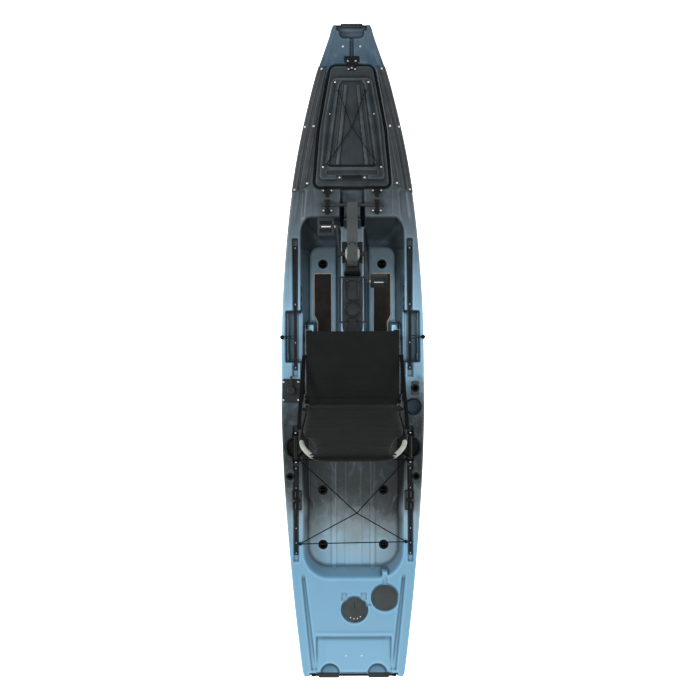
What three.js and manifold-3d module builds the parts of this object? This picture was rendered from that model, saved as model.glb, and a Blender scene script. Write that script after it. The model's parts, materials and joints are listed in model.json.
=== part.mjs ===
// Pedal kayak: a rotomoulded sit-on-top fishing kayak with a pedal drive, a framed seat and a rudder.
// Millimetres. +Y points to the bow, +X to starboard, +Z up. The origin is at the middle of the base.
import * as THREE from 'three';
import { mergeVertices } from 'three/addons/utils/BufferGeometryUtils.js';
import Module from 'manifold-3d';

const wasm = await Module();
wasm.setup();

// Fits and tolerances
const clearance = 0.4;       // between pieces that touch
const runningGap = 3;        // between pieces that move past each other
const overrun = 30;          // how far a cut runs past what it cuts
const mergeTolerance = 0.0005;
const overlap = 1;           // how far joined bodies reach into each other
const wideSides = 28;
const roundSides = 16;
const smallSides = 12;
const tubeSides = 8;
const cordSides = 5;
const cornerSteps = 3;
const midShare = 0.5;

const colours = {
  hullBlue: 0x5b86a8, panelBlack: 0x23262a, lidBlack: 0x282c31, plasticBlack: 0x1b1c1e, rubberBlack: 0x161718,
  castGrey: 0x74777a, silver: 0xb4b6b8, steel: 0xc9cbcd, fabricBlack: 0x1d2022, padBlack: 0x1f1f20,
  aluminium: 0x3a3c3f,
  propBlack: 0x222325,
};

// Driving sizes of the hull
const hull = {
  length: 4086, beam: 902, wall: 5, floorFlat: 62, channelDepth: 26, channelSlope: 26,
  sheerStern: 322, sheerMid: 330, sheerBow: 392, crownBow: 34, crownStern: 12,
  rockerStern: 46, rockerBow: 168, edgeRound: 15, sideDrop: 46, stemWall: 10,
};

// Half width as a share of half the beam, at shares of the length from stern to bow
const planShares = [
  [0, 0.695], [0.006, 0.715], [0.057, 0.772], [0.118, 0.833], [0.179, 0.883], [0.24, 0.928], [0.3, 0.963],
  [0.36, 0.987], [0.42, 1], [0.515, 0.994], [0.576, 0.978], [0.638, 0.942], [0.7, 0.89], [0.76, 0.82],
  [0.82, 0.724], [0.88, 0.6], [0.927, 0.487], [0.958, 0.39], [0.982, 0.315], [0.995, 0.282], [1, 0.262],
];
// Sheer height between mid and end, and rise of the keel, as shares along the length
const stationShares = [
  0, 0.012, 0.057, 0.118, 0.179, 0.24, 0.3, 0.36, 0.42, 0.47, 0.515, 0.576, 0.638, 0.7, 0.76, 0.82, 0.88,
    0.927,
  0.958, 0.982, 0.995, 1,
];
const chineShares = { sponsonIn: 0.44, sponsonOut: 0.74, bilge: 0.885, lowSide: 0.948, highSide: 0.98 };
const riseShares = { bilge: 0.12, lowSide: 0.36, highSide: 0.66 };
const crownShares = { shoulder: 0.8, shoulderRise: 0.5, inner: 0.4, innerRise: 0.9 };
const rockerShares = { sternStart: 0.22, bowStart: 0.66, veeStart: 0.62, veeLength: 0.22 };
const veeShares = { depth: 0.3, keelBow: 0.35, slopeFoot: 0.35, slopeHead: 0.6, sponson: 0.62 };
const crownPlaceShares = {
  bowStart: 0.66, bowLength: 0.12, bowFade: 0.7, fadeStart: 0.9, fadeLength: 0.1, sternEnd: 0.18,
  sternLength: 0.08,
};

// Interpolates a table of [share, value] rows along a smooth curve
function tableAt(table, share) {
  const last = table.length - 1;
  if (share <= table[0][0]) return table[0][1];
  if (share >= table[last][0]) return table[last][1];
  let row = 0;
  while (table[row + 1][0] < share) row += 1;
  const [low, high] = [table[row], table[row + 1]];
  const local = (share - low[0]) / (high[0] - low[0]);
  const slope = (i) => {
    const before = table[Math.max(i - 1, 0)];
    const after = table[Math.min(i + 1, last)];
    return (after[1] - before[1]) / (after[0] - before[0]);
  };
  const span = high[0] - low[0];
  const square = local * local;
  const cube = square * local;
  return (2 * cube - 3 * square + 1) * low[1] + (cube - 2 * square + local) * span * slope(row)
    + (3 * square - 2 * cube) * high[1] + (cube - square) * span * slope(row + 1);
}

const shareAt = (y) => y / hull.length + midShare;
const halfBeamAt = (y) => tableAt(planShares, shareAt(y)) * hull.beam / 2;
const ease = (value) => {
  const held = Math.min(Math.max(value, 0), 1);
  return held * held * (3 - 2 * held);
};
function sheerAt(y) {
  const share = shareAt(y);
  const end = share < midShare ? hull.sheerStern : hull.sheerBow;
  return hull.sheerMid + (end - hull.sheerMid) * ease(Math.abs(share - midShare) / midShare);
}
function crownAt(y) {
  const share = shareAt(y);
  const part = crownPlaceShares;
  return hull.crownBow * ease((share - part.bowStart) / part.bowLength)
    * (1 - part.bowFade * ease((share - part.fadeStart) / part.fadeLength))
    + hull.crownStern * ease((part.sternEnd - share) / part.sternLength);
}
function keelAt(y) {
  const share = shareAt(y);
  const stern = Math.max(0, (rockerShares.sternStart - share) / rockerShares.sternStart);
  const bow = Math.max(0, (share - rockerShares.bowStart) / (1 - rockerShares.bowStart));
  return hull.rockerStern * stern * stern + hull.rockerBow * bow * bow * bow;
}
// One for the flat-bottomed middle, falling to zero towards the veed bow
const flatAt = (y) => 1 - ease((shareAt(y) - rockerShares.veeStart) / rockerShares.veeLength);

// Which of a section's corners are the deck's, from the gunwale's edge to the centre
const deckCorners = { first: 11, count: 4 };

// Closed section of the hull at a station, from the keel round the starboard side to the deck and back
function sectionAt(y, inset) {
  const half = halfBeamAt(y);
  const keel = keelAt(y);
  const sheer = sheerAt(y);
  const height = sheer - keel;
  const flat = flatAt(y);
  const vee = (1 - flat) * height * veeShares.depth;
  const channel = hull.channelDepth * flat;
  const crown = crownAt(y);
  const keelHalf = hull.floorFlat * (veeShares.keelBow + (1 - veeShares.keelBow) * flat);
  const points = [
    [0, keel],
    [keelHalf, keel],
    [keelHalf + hull.channelSlope, keel + channel + vee * veeShares.slopeFoot],
    [half * chineShares.sponsonIn - hull.channelSlope * flat, keel + channel + vee * veeShares.slopeHead],
    [half * chineShares.sponsonIn, keel + vee * veeShares.sponson],
    [half * chineShares.sponsonOut, keel + vee],
    [half * chineShares.bilge, keel + vee + (height - vee) * riseShares.bilge],
    [half * chineShares.lowSide, keel + vee + (height - vee) * riseShares.lowSide],
    [half * chineShares.highSide, keel + vee + (height - vee) * riseShares.highSide],
    [half, sheer - hull.sideDrop],
    [half, sheer - hull.edgeRound],
    [half - hull.edgeRound, sheer],
    [half * crownShares.shoulder, sheer + crown * crownShares.shoulderRise],
    [half * crownShares.inner, sheer + crown * crownShares.innerRise],
    [0, sheer + crown],
  ];
  const port = points.slice(1, -1).reverse().map(([x, z]) => [-x, z]);
  return offsetOutline(points.concat(port), -inset);
}

// Moves each corner of a closed outline out by a distance, along the bisector of its two edges
function offsetOutline(points, distance) {
  if (distance === 0) return points;
  const count = points.length;
  let area = 0;
  points.forEach(([x, y], i) => {
    const [nextX, nextY] = points[(i + 1) % count];
    area += x * nextY - nextX * y;
  });
  const turn = Math.sign(area);
  return points.map(([x, y], i) => {
    const before = points[(i + count - 1) % count];
    const after = points[(i + 1) % count];
    const first = new THREE.Vector2(x - before[0], y - before[1]).normalize();
    const second = new THREE.Vector2(after[0] - x, after[1] - y).normalize();
    const normal = new THREE.Vector2((first.y + second.y) * turn, -(first.x + second.x) * turn);
    const bend = Math.max(normal.lengthSq() / 2, 0.5);
    return [x + normal.x * distance / bend, y + normal.y * distance / bend];
  });
}

// Rounds the corners of a closed outline of [x, y, radius] rows, each by less than half an edge
const halfEdgeShare = 0.49;
function roundedOutline(corners, steps = cornerSteps) {
  const outline = [];
  corners.forEach(([x, y, radius], i) => {
    const before = corners[(i + corners.length - 1) % corners.length];
    const after = corners[(i + 1) % corners.length];
    const corner = new THREE.Vector2(x, y);
    if (!radius) {
      outline.push([x, y]);
      return;
    }
    const back = new THREE.Vector2(before[0], before[1]).sub(corner);
    const ahead = new THREE.Vector2(after[0], after[1]).sub(corner);
    const reach = Math.min(radius, back.length() * halfEdgeShare, ahead.length() * halfEdgeShare);
    const start = corner.clone().addScaledVector(back.normalize(), reach);
    const end = corner.clone().addScaledVector(ahead.normalize(), reach);
    const curve = new THREE.QuadraticBezierCurve(start, corner, end);
    curve.getPoints(steps).forEach((point) => outline.push([point.x, point.y]));
  });
  return outline;
}
// The same outline grown by a distance before its corners are rounded
function grownOutline(corners, grow) {
  const moved = offsetOutline(corners.map(([x, y]) => [x, y]), grow);
  return roundedOutline(moved.map(([x, y], i) => [x, y, corners[i][2] && Math.max(corners[i][2] + grow,
    clearance)]));
}
const rectangle = (lowX, lowY, highX, highY, radius = 0) => roundedOutline([
  [lowX, lowY, radius], [highX, lowY, radius], [highX, highY, radius], [lowX, highY, radius],
]);
// Six corners of a shape that changes width at its middle, from [y, half width, radius] rows
const sixCorners = (rear, middle, front) => [
  ...[rear, middle, front].map(([y, half, radius]) => [half, y, radius]),
  ...[front, middle, rear].map(([y, half, radius]) => [-half, y, radius]),
];
function circle(x, y, radius, sides = roundSides) {
  return Array.from({ length: sides }, (_, i) => {
    const angle = 2 * Math.PI * i / sides;
    return [x + radius * Math.cos(angle), y + radius * Math.sin(angle)];
  });
}

// An outline shrunk towards its middle so that its widest places move in by an inset
function drawnIn(outline, inset) {
  const [xs, ys] = [0, 1].map((k) => outline.map((point) => point[k]));
  const middle = [xs, ys].map((all) => (Math.min(...all) + Math.max(...all)) / 2);
  const half = [xs, ys].map((all) => (Math.max(...all) - Math.min(...all)) / 2);
  return outline.map((point) => point.map((value,
    k) => middle[k] + (value - middle[k]) * (1 - inset / half[k])));
}

// Closed surface through a row of rings; flatten gives a ring point's place in the plane of its cap
function loft(rings, flatten) {
  const corners = [];
  const count = rings[0].length;
  for (let ring = 0; ring < rings.length - 1; ring += 1) {
    for (let i = 0; i < count; i += 1) {
      const next = (i + 1) % count;
      const [a, b, c, d] = [rings[ring][i], rings[ring][next], rings[ring + 1][next], rings[ring + 1][i]];
      corners.push(a, b, c, a, c, d);
    }
  }
  const flat = rings[0].map(flatten);
  const lastRing = rings[rings.length - 1];
  const flatLast = lastRing.map(flatten);
  THREE.ShapeUtils.triangulateShape(flat, []).forEach(([a, b, c]) => {
    const order = THREE.ShapeUtils.isClockWise(flat) ? [a, b, c] : [c, b, a];
    order.forEach((i) => corners.push(rings[0][i]));
  });
  THREE.ShapeUtils.triangulateShape(flatLast, []).forEach(([a, b, c]) => {
    const order = THREE.ShapeUtils.isClockWise(flatLast) ? [c, b, a] : [a, b, c];
    order.forEach((i) => corners.push(lastRing[i]));
  });
  const positions = new Float32Array(corners.length * 3);
  corners.forEach((point, i) => point.toArray(positions, i * 3));
  const geometry = new THREE.BufferGeometry();
  geometry.setAttribute('position', new THREE.BufferAttribute(positions, 3));
  return facingOut(geometry);
}

function facingOut(geometry) {
  const position = geometry.getAttribute('position');
  let volume = 0;
  const [a, b, c] = [new THREE.Vector3(), new THREE.Vector3(), new THREE.Vector3()];
  for (let i = 0; i < position.count; i += 3) {
    a.fromBufferAttribute(position, i);
    b.fromBufferAttribute(position, i + 1);
    c.fromBufferAttribute(position, i + 2);
    volume += a.dot(b.cross(c));
  }
  if (volume < 0) {
    const array = position.array;
    for (let i = 0; i < array.length; i += 9) {
      for (let k = 0; k < 3; k += 1) [array[i + 3 + k], array[i + 6 + k]] = [array[i + 6 + k],
        array[i + 3 + k]];
    }
  }
  return geometry;
}

function solid(geometry) {
  const bare = geometry.index ? geometry.toNonIndexed() : geometry.clone();
  bare.deleteAttribute('normal');
  bare.deleteAttribute('uv');
  const merged = mergeVertices(bare, mergeTolerance);
  return new wasm.Manifold(new wasm.Mesh({
    numProp: 3,
    vertProperties: new Float32Array(merged.getAttribute('position').array),
    triVerts: new Uint32Array(merged.index.array),
  }));
}
const joined = (...solids) => solids.reduce((all, next) => all.add(next));
const cut = (body, ...tools) => tools.reduce((left, tool) => left.subtract(tool), body);

function geometryOf(body) {
  const mesh = body.getMesh();
  const geometry = new THREE.BufferGeometry();
  geometry.setAttribute('position', new THREE.BufferAttribute(new Float32Array(mesh.vertProperties), 3));
  geometry.setIndex(new THREE.BufferAttribute(new Uint32Array(mesh.triVerts), 1));
  return geometry;
}

// Solids between plan outlines at rising heights: levels are [z, outline] rows
function prism(levels) {
  const rings = levels.map(([z, outline]) => outline.map(([x, y]) => new THREE.Vector3(x, y, z)));
  return solid(loft(rings, (point) => new THREE.Vector2(point.x, point.y)));
}
const slab = (outline, low, high) => prism([[low, outline], [high, outline]]);
const block = (lowX, highX, lowY, highY, lowZ, highZ) => slab(rectangle(lowX, lowY, highX, highY), lowZ,
  highZ);
const spanBlock = (oneX, otherX, lowY, highY, lowZ, highZ) => block(Math.min(oneX, otherX), Math.max(oneX,
  otherX),
  lowY, highY, lowZ, highZ);
const mirrored = (make) => [-1, 1].map(make);

// Side outline of [y, z] rows carried from one x to another
function sideProfile(outline, lowX, highX) {
  const rings = [lowX, highX].map((x) => outline.map(([y, z]) => new THREE.Vector3(x, y, z)));
  return solid(loft(rings, (point) => new THREE.Vector2(point.y, point.z)));
}

function rod(start, end, radius, sides = smallSides, endRadius = radius) {
  const axis = new THREE.Vector3(...end).sub(new THREE.Vector3(...start));
  const geometry = new THREE.CylinderGeometry(endRadius, radius, axis.length(), sides);
  geometry.applyQuaternion(new THREE.Quaternion().setFromUnitVectors(new THREE.Vector3(0, 1, 0),
    axis.clone().normalize()));
  geometry.translate(...new THREE.Vector3(...start).addScaledVector(axis, 1 / 2).toArray());
  return solid(geometry);
}
function sideRod(fromX, toX, y, z, radius, sides = roundSides) {
  return rod([fromX, y, z], [toX, y, z], radius, sides);
}
function ball(x, y, z, radius, sides = smallSides) {
  const geometry = new THREE.SphereGeometry(radius, sides, sides / 2);
  geometry.translate(x, y, z);
  return solid(geometry);
}

// A round tube along a smooth curve
function tube(points, radius, { steps, sides }) {
  const places = points.map((point) => new THREE.Vector3(...point));
  const path = new THREE.CatmullRomCurve3(places, false, 'centripetal');
  const section = new THREE.Shape(circle(0, 0, radius, sides).map(([x, y]) => new THREE.Vector2(x, y)));
  return solid(new THREE.ExtrudeGeometry(section, { steps, extrudePath: path, bevelEnabled: false }));
}

const group = new THREE.Group();
group.name = 'pedal_kayak';
function place(name, body, colour, roughness = 0.6, metalness = 0) {
  const material = new THREE.MeshStandardMaterial({ color: colour, roughness, metalness });
  const mesh = new THREE.Mesh(geometryOf(body), material);
  mesh.name = name;
  group.add(mesh);
  return mesh;
}

// Hull form: the loft of its sections, shrunk by an inset or grown by a negative one
function hullForm(inset) {
  const rings = stationShares.map((share) => {
    const reach = hull.length / 2 - inset - (inset > 0 ? hull.stemWall - hull.wall : 0);
    const y = (share - midShare) / midShare * reach;
    return sectionAt((share - midShare) * hull.length, inset).map(([x, z]) => new THREE.Vector3(x, y, z));
  });
  return solid(loft(rings, (point) => new THREE.Vector2(point.x, point.z)));
}
const skyHeight = hull.sheerBow + hull.sheerMid;

// Four corners of a well from its rear end to its front end, with a radius at each end
const wellCorners = (rearHalf, rear, rearRadius, frontHalf, front, frontRadius) => [[-rearHalf, rear,
  rearRadius],
  [rearHalf, rear, rearRadius], [frontHalf, front, frontRadius], [-frontHalf, front, frontRadius]];

// Cockpit: two footwells either side of a centre hump, with seat ledges aft
const cockpit = {
  gunwale: 122, floor: 95, frontFloor: 676, frontRim: 852, rearFloor: -300, rearRim: -330, floorHalf: 276,
  cornerRim: 105, cornerFloor: 60, humpTop: 226, humpTopHalf: 74, humpBaseHalf: 106,
  ledgeTop: 236, ledgeInner: 240, ledgeFront: 182,
};
const cockpitHalf = hull.beam / 2 - cockpit.gunwale;

function cockpitCut(grow) {
  const rim = grownOutline(wellCorners(cockpitHalf, cockpit.rearRim, cockpit.cornerFloor,
    cockpitHalf, cockpit.frontRim, cockpit.cornerRim), grow);
  const floor = grownOutline(wellCorners(cockpit.floorHalf, cockpit.rearFloor, cockpit.cornerFloor,
    cockpit.floorHalf, cockpit.frontFloor, cockpit.cornerFloor), grow);
  const well = prism([[cockpit.floor - grow, floor], [hull.sheerMid, rim], [skyHeight, rim]]);
  const humpPlan = (half) => rectangle(grow - half, cockpit.rearRim - overrun, half - grow,
    cockpit.frontRim + overrun);
  const hump = prism([[cockpit.floor - overrun, humpPlan(cockpit.humpBaseHalf)],
    [cockpit.floor, humpPlan(cockpit.humpBaseHalf)], [cockpit.humpTop - grow,
      humpPlan(cockpit.humpTopHalf)]]);
  const ledges = mirrored((side) => spanBlock(side * (cockpit.ledgeInner + grow),
    side * (cockpitHalf + overrun),
    cockpit.rearRim - overrun, cockpit.ledgeFront - grow, cockpit.floor - overrun, cockpit.ledgeTop - grow));
  return cut(well, hump, ...ledges);
}

// Tankwell behind the seat
const tankwell = {
  floor: 192, frontRim: -398, rearRim: -1428, frontFloor: -420, rearFloor: -1359, floorHalf: 283,
  frontHalf: 325, rearHalf: 314, corner: 125, scupperRadius: 20, scupperX: 193, scupperFrontY: -880,
  scupperRearY: -1229,
};
function tankwellCut(grow) {
  const rim = grownOutline(wellCorners(tankwell.rearHalf, tankwell.rearRim, tankwell.corner,
    tankwell.frontHalf, tankwell.frontRim, cockpit.cornerFloor), grow);
  const floor = grownOutline(wellCorners(tankwell.floorHalf, tankwell.rearFloor, tankwell.corner,
    tankwell.floorHalf, tankwell.frontFloor, cockpit.cornerFloor), grow);
  return prism([[tankwell.floor - grow, floor], [hull.sheerMid, rim], [skyHeight, rim]]);
}

// Drive: crossbar, mast, gearbox, cranks and pedals, and the folding leg below
const drive = {
  barY: 920, barX: 155, barLift: 18, barRadius: 11, barHalf: 196, axleY: 612, axleZ: 402, drumRadius: 75,
  drumHalf: 32,
  coverThick: 12, coverRadius: 42, mastHalf: 34, mastTop: 22, mastNose: 18, axleRadius: 9, crank: 170,
  armWidth: 28,
  armThick: 12, armInner: 76, armFlare: 16, bossRadius: 19, bossProud: 4, spindleRadius: 8, spindleShort: 8,
  pedalWide: 104, pedalLong: 112, pedalThick: 22, pedalGap: 8, pedalBar: 15, pedalCorner: 16, stubRadius: 16,
  stubZ: 300,
};
const pedalTiltDegrees = 52;
const leg = {
  pivotZ: 36, headRadius: 26, headHalf: 30, sideGap: 1, reach: 330, rootHalf: 22, rootAhead: 10, tipHalf: 14,
  tipBack: 20,
  thick: 30, pinRadius: 6, cheek: 8, yokeHalf: 22, yokeFoot: 10, yokeDrop: 16, yokeBar: 14, propRadius: 120,
  hubRadius: 20, hubTall: 22, hubGap: 3, hubAhead: 8, tail: 34, shaftIn: 4, bladeChord: 46, bladeThick: 4,
};
const bladeLeanDegrees = 20;
const well = { sideRoom: 7, ahead: 56, behind: 34, topRoom: 1, propRoom: 16, hubRoom: 6 };
const propY = drive.axleY - leg.reach;
const propLow = leg.pivotZ + leg.thick / 2 + leg.hubGap;
const yokeTop = leg.pivotZ + leg.headRadius + runningGap;
const yokeOut = leg.headHalf + leg.sideGap + leg.cheek;
const wellHalf = yokeOut + well.sideRoom;
const recessRadius = leg.propRadius + well.propRoom;
const mastChannel = { half: 72, front: 1025, frontZ: 352, rearZ: 262 };

function mastChannelCut(grow) {
  const side = [[mastChannel.front + grow, skyHeight], [mastChannel.front + grow, mastChannel.frontZ - grow],
    [cockpit.frontRim - grow, mastChannel.rearZ - grow], [cockpit.frontFloor, cockpit.humpTop - grow],
    [cockpit.frontFloor, skyHeight]];
  return sideProfile(side, -mastChannel.half - grow, mastChannel.half + grow);
}
function driveWellCut(grow) {
  const half = wellHalf + grow;
  const front = drive.axleY + well.ahead + grow;
  const shaft = block(-half, half, drive.axleY - well.behind - grow, front, -overrun, skyHeight);
  const tunnel = block(-half, half, propY, front, -overrun, yokeTop + leg.yokeBar + well.topRoom + grow);
  const recess = slab(circle(0, propY, recessRadius + grow, wideSides), -overrun,
    propLow + leg.hubTall + well.hubRoom + grow);
  return joined(shaft, tunnel, recess);
}

// Front hatch: a stepped seat in the foredeck with an opening into the hull
const hatchShares = { front: 0.2927, middle: 0.4546, rear: 0.5233 };
const hatch = {
  front: 1783, middle: 1384, rear: 1033, frontHalf: hatchShares.front * hull.beam / 2,
  middleHalf: hatchShares.middle * hull.beam / 2, rearHalf: hatchShares.rear * hull.beam / 2, corner: 34,
  sideCorner: 136, gap: 9, depth: 22, ledge: 32, skin: 5, lip: 15, rise: 9, panelRise: 8, below: 88,
};
function hatchOutline(grow) {
  return grownOutline(sixCorners([hatch.rear, hatch.rearHalf, hatch.corner], [hatch.middle, hatch.middleHalf,
    hatch.sideCorner], [hatch.front, hatch.frontHalf, hatch.corner]), grow);
}
const hatchLow = hull.sheerMid - hatch.below;
const seatForm = hullForm(hatch.depth);
function hatchCut(grow) {
  const shaft = slab(hatchOutline(hatch.gap + grow), hatchLow, skyHeight);
  return shaft.subtract(grow ? hullForm(hatch.depth + grow) : seatForm);
}

// Height of the moulded deck, or of the same form grown by a lift, above a place in plan
function deckAt(x, y, lift = 0) {
  const share = shareAt(y);
  let low = 0;
  while (low < stationShares.length - 2 && stationShares[low + 1] < share) low += 1;
  const local = (share - stationShares[low]) / (stationShares[low + 1] - stationShares[low]);
  const [first, second] = [low, low + 1].map((i) => sectionAt((stationShares[i] - midShare) * hull.length,
    -lift));
  const ring = first.map(([a, b], i) => [a + (second[i][0] - a) * local, b + (second[i][1] - b) * local]);
  const top = ring.slice(deckCorners.first, deckCorners.first + deckCorners.count);
  const reach = Math.abs(x);
  for (let i = 0; i < top.length - 1; i += 1) {
    if (reach <= top[i][0] && reach >= top[i + 1][0]) {
      return top[i][1] + (top[i + 1][1] - top[i][1]) * (top[i][0] - reach) / (top[i][0] - top[i + 1][0]);
    }
  }
  return top[0][1];
}

// Gunwale slots, pockets, hand recesses, holders and lid seats
const track = {
  offset: 31, half: 10, height: 9, groove: 6, grooveDeep: 4, slotHalf: 18, slotDepth: 16, slotEnd: 44,
  frontStart: -113, frontEnd: 669, rearStart: -1277, rearEnd: -716, rearSlotFront: -465,
};
const trackX = cockpitHalf + track.offset;
const sidePocket = { front: 258, rear: -63, depth: 62, inner: 8, outerWall: 30 };
const handRecess = { y: -600, radius: 56, depth: 40 };
const rodHole = { radius: 20, depth: 120, rearY: -782, frontY: -228, frontInset: 59, rearInset: 40 };
const cup = { y: -344, radius: 45, depth: 60, inset: 70, liner: 3, lip: 5, seat: 2 };
const bowNotch = { half: 96, y: 2012, depth: 38 };
const bowRecess = { front: 2030, rear: 1963, half: 76, depth: 46, corner: 30 };
const endHandle = {
  proud: 11, gripRadius: 14, gripHalf: 68, cordRadius: 5, drop: 12, barHalf: 271, barRadius: 9, barGrip: 11,
  barGripHalf: 66, barDrop: 24, barGap: 8, lug: 24,
};
const sternRecess = { x: 150, in: 13, radius: 60, depth: 42 };
const sternStep = { start: -1771, end: -1817, drop: 26, half: 246 };
const roundLid = {
  centre: { x: 6, y: -1621, radius: 76 }, side: { x: 198, y: -1545, radius: 79 },
  seatGap: 3, seatDepth: 12, neckIn: 14, neckGap: 3, neck: 16, thick: 14, flange: 5,
};
const lidPlaces = [roundLid.centre, roundLid.side];
const footScupper = { x: 190, y: 567, radius: 20 };
const rudder = {
  pivotY: -1620, recessTop: 156, recessHead: 58, bladeReach: 258, bladeHeight: 84, bladeThick: 9, bladeZ: 88,
  headRadius: 20, forkHalf: 15, forkGap: 1, forkRadius: 16, forkRoom: 6, pinRadius: 5, room: 24,
  bladeNose: 22,
  bladeKnee: 30, tipCorner: 30, kneeCorner: 20, noseCorner: 14,
};
const rudderSweepDegrees = 32;
const recessShares = { fan: [-1, -0.5, 0, 0.5, 1], widen: 1.08 };
const endY = hull.length / 2;
const reachY = endY + endHandle.proud;
const sternBarY = endHandle.barGrip - reachY;
const sternBarZ = sheerAt(-endY) - endHandle.barDrop;
const sternNotchY = sternBarY + endHandle.barGrip + endHandle.barGap;
const sternDeckZ = sheerAt(-endY) + crownAt(-endY);

function slotCut(side, [low, high], grow) {
  const half = track.slotHalf + grow;
  return slab(rectangle(side * trackX - half, low - grow, side * trackX + half, high + grow),
    slotFloor([low, high]) - grow, skyHeight);
}
const slotFloor = ([low, high]) => sheerAt((low + high) / 2) - track.slotDepth;
const frontSlot = [track.frontStart - track.slotEnd, track.frontEnd + track.slotEnd];
const rearSlot = [track.rearStart - track.slotEnd, track.rearSlotFront];
const rodPlaces = [
  [rodHole.rearInset - halfBeamAt(rodHole.rearY), rodHole.rearY],
  [halfBeamAt(rodHole.rearY) - rodHole.rearInset, rodHole.rearY],
  [halfBeamAt(rodHole.frontY) - rodHole.frontInset, rodHole.frontY],
];
const cupX = halfBeamAt(cup.y) - cup.inset;
const lidSeatZ = (y) => sheerAt(y) + crownAt(y) - roundLid.seatDepth;

function gunwaleCuts(grow) {
  const cuts = [];
  [-1, 1].forEach((side) => {
    cuts.push(slotCut(side, frontSlot, grow), slotCut(side, rearSlot, grow));
    cuts.push(spanBlock(side * (cockpitHalf - sidePocket.inner),
      side * (hull.beam / 2 - sidePocket.outerWall + grow),
      sidePocket.rear - grow, sidePocket.front + grow, hull.sheerMid - sidePocket.depth - grow, skyHeight));
    cuts.push(slab(circle(side * trackX, handRecess.y, handRecess.radius + grow),
      hull.sheerMid - handRecess.depth - grow, skyHeight));
  });
  rodPlaces.forEach(([x, y]) => cuts.push(slab(circle(x, y, rodHole.radius + grow, smallSides),
    sheerAt(y) - rodHole.depth - grow, skyHeight)));
  cuts.push(slab(circle(cupX, cup.y, cup.radius + grow), sheerAt(cup.y) - cup.depth - grow, skyHeight));
  return cuts;
}

function endCuts(grow) {
  const past = endY + overrun;
  const notch = block(-bowNotch.half - grow, bowNotch.half + grow, bowNotch.y - grow, past,
    sheerAt(bowNotch.y) - bowNotch.depth - grow, skyHeight);
  const bowHand = slab(grownOutline(wellCorners(bowRecess.half, bowRecess.rear, bowRecess.corner,
    bowRecess.half, bowRecess.front, 0), grow), sheerAt(bowRecess.rear) - bowRecess.depth - grow, skyHeight);
  const stepZ = sternDeckZ - sternStep.drop - grow;
  const step = sideProfile([[sternStep.start + grow, sternDeckZ + overrun], [sternStep.start + grow,
    sternDeckZ - grow / 2],
    [sternStep.end + grow, stepZ], [-past, stepZ], [-past, sternDeckZ + overrun]],
  -sternStep.half - grow, sternStep.half + grow);
  const slotHalf = endHandle.barHalf + endHandle.barGap + grow;
  const barSlot = block(-slotHalf, slotHalf, -past, sternNotchY + grow,
    sternBarZ - endHandle.barGrip - endHandle.barGap - grow, skyHeight);
  const fingers = mirrored((side) => slab(circle(side * sternRecess.x, sternRecess.in - endY,
    sternRecess.radius + grow),
    sternDeckZ - sternStep.drop - sternRecess.depth - grow, skyHeight));
  const seats = lidPlaces.map(({ x, y, radius }) => slab(
    circle(x, y, radius + roundLid.seatGap + grow), lidSeatZ(y) - grow, skyHeight));
  return [notch, bowHand, step, barSlot, ...fingers, ...seats];
}

function rudderCut(grow) {
  const sweep = THREE.MathUtils.degToRad(rudderSweepDegrees);
  const reach = rudder.bladeReach + rudder.room;
  const outline = [[-rudder.recessHead, rudder.pivotY + rudder.recessHead],
    [-rudder.recessHead, rudder.pivotY - rudder.room]];
  recessShares.fan.forEach((share) => outline.push([reach * Math.sin(sweep * share) * recessShares.widen,
    rudder.pivotY - reach * Math.cos(sweep * share)]));
  outline.push([rudder.recessHead, rudder.pivotY - rudder.room], [rudder.recessHead,
    rudder.pivotY + rudder.recessHead]);
  return slab(offsetOutline(outline, grow), -overrun, rudder.recessTop + grow);
}

const scupperPlaces = [-1, 1].flatMap((side) => [
  [side * footScupper.x, footScupper.y, footScupper.radius],
  [side * tankwell.scupperX, tankwell.scupperFrontY, tankwell.scupperRadius],
  [side * tankwell.scupperX, tankwell.scupperRearY, tankwell.scupperRadius],
]);

function hollows(grow) {
  const cuts = [cockpitCut(grow), tankwellCut(grow), mastChannelCut(grow), driveWellCut(grow), hatchCut(grow),
    rudderCut(grow), ...gunwaleCuts(grow), ...endCuts(grow)];
  scupperPlaces.forEach(([x, y, radius]) => cuts.push(slab(circle(x, y, radius + grow, smallSides),
    -overrun, skyHeight)));
  return joined(...cuts);
}

const outer = hullForm(0).subtract(hollows(0));
const inner = hullForm(hull.wall).subtract(hollows(hull.wall));
const hatchOpening = slab(hatchOutline(-hatch.ledge), hatchLow, skyHeight);
const lidOpenings = lidPlaces.map(({ x, y, radius }) => slab(circle(x, y, radius - roundLid.neckIn),
  lidSeatZ(y) - overrun, skyHeight));
place('hull', cut(outer, inner, hatchOpening, ...lidOpenings), colours.hullBlue, 0.5);

// Pieces on the deck are trimmed to follow it with a small gap
const deckForm = hullForm(-clearance);
const onDeck = (body) => body.subtract(deckForm);
const sides = [['left', -1], ['right', 1]];

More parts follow.
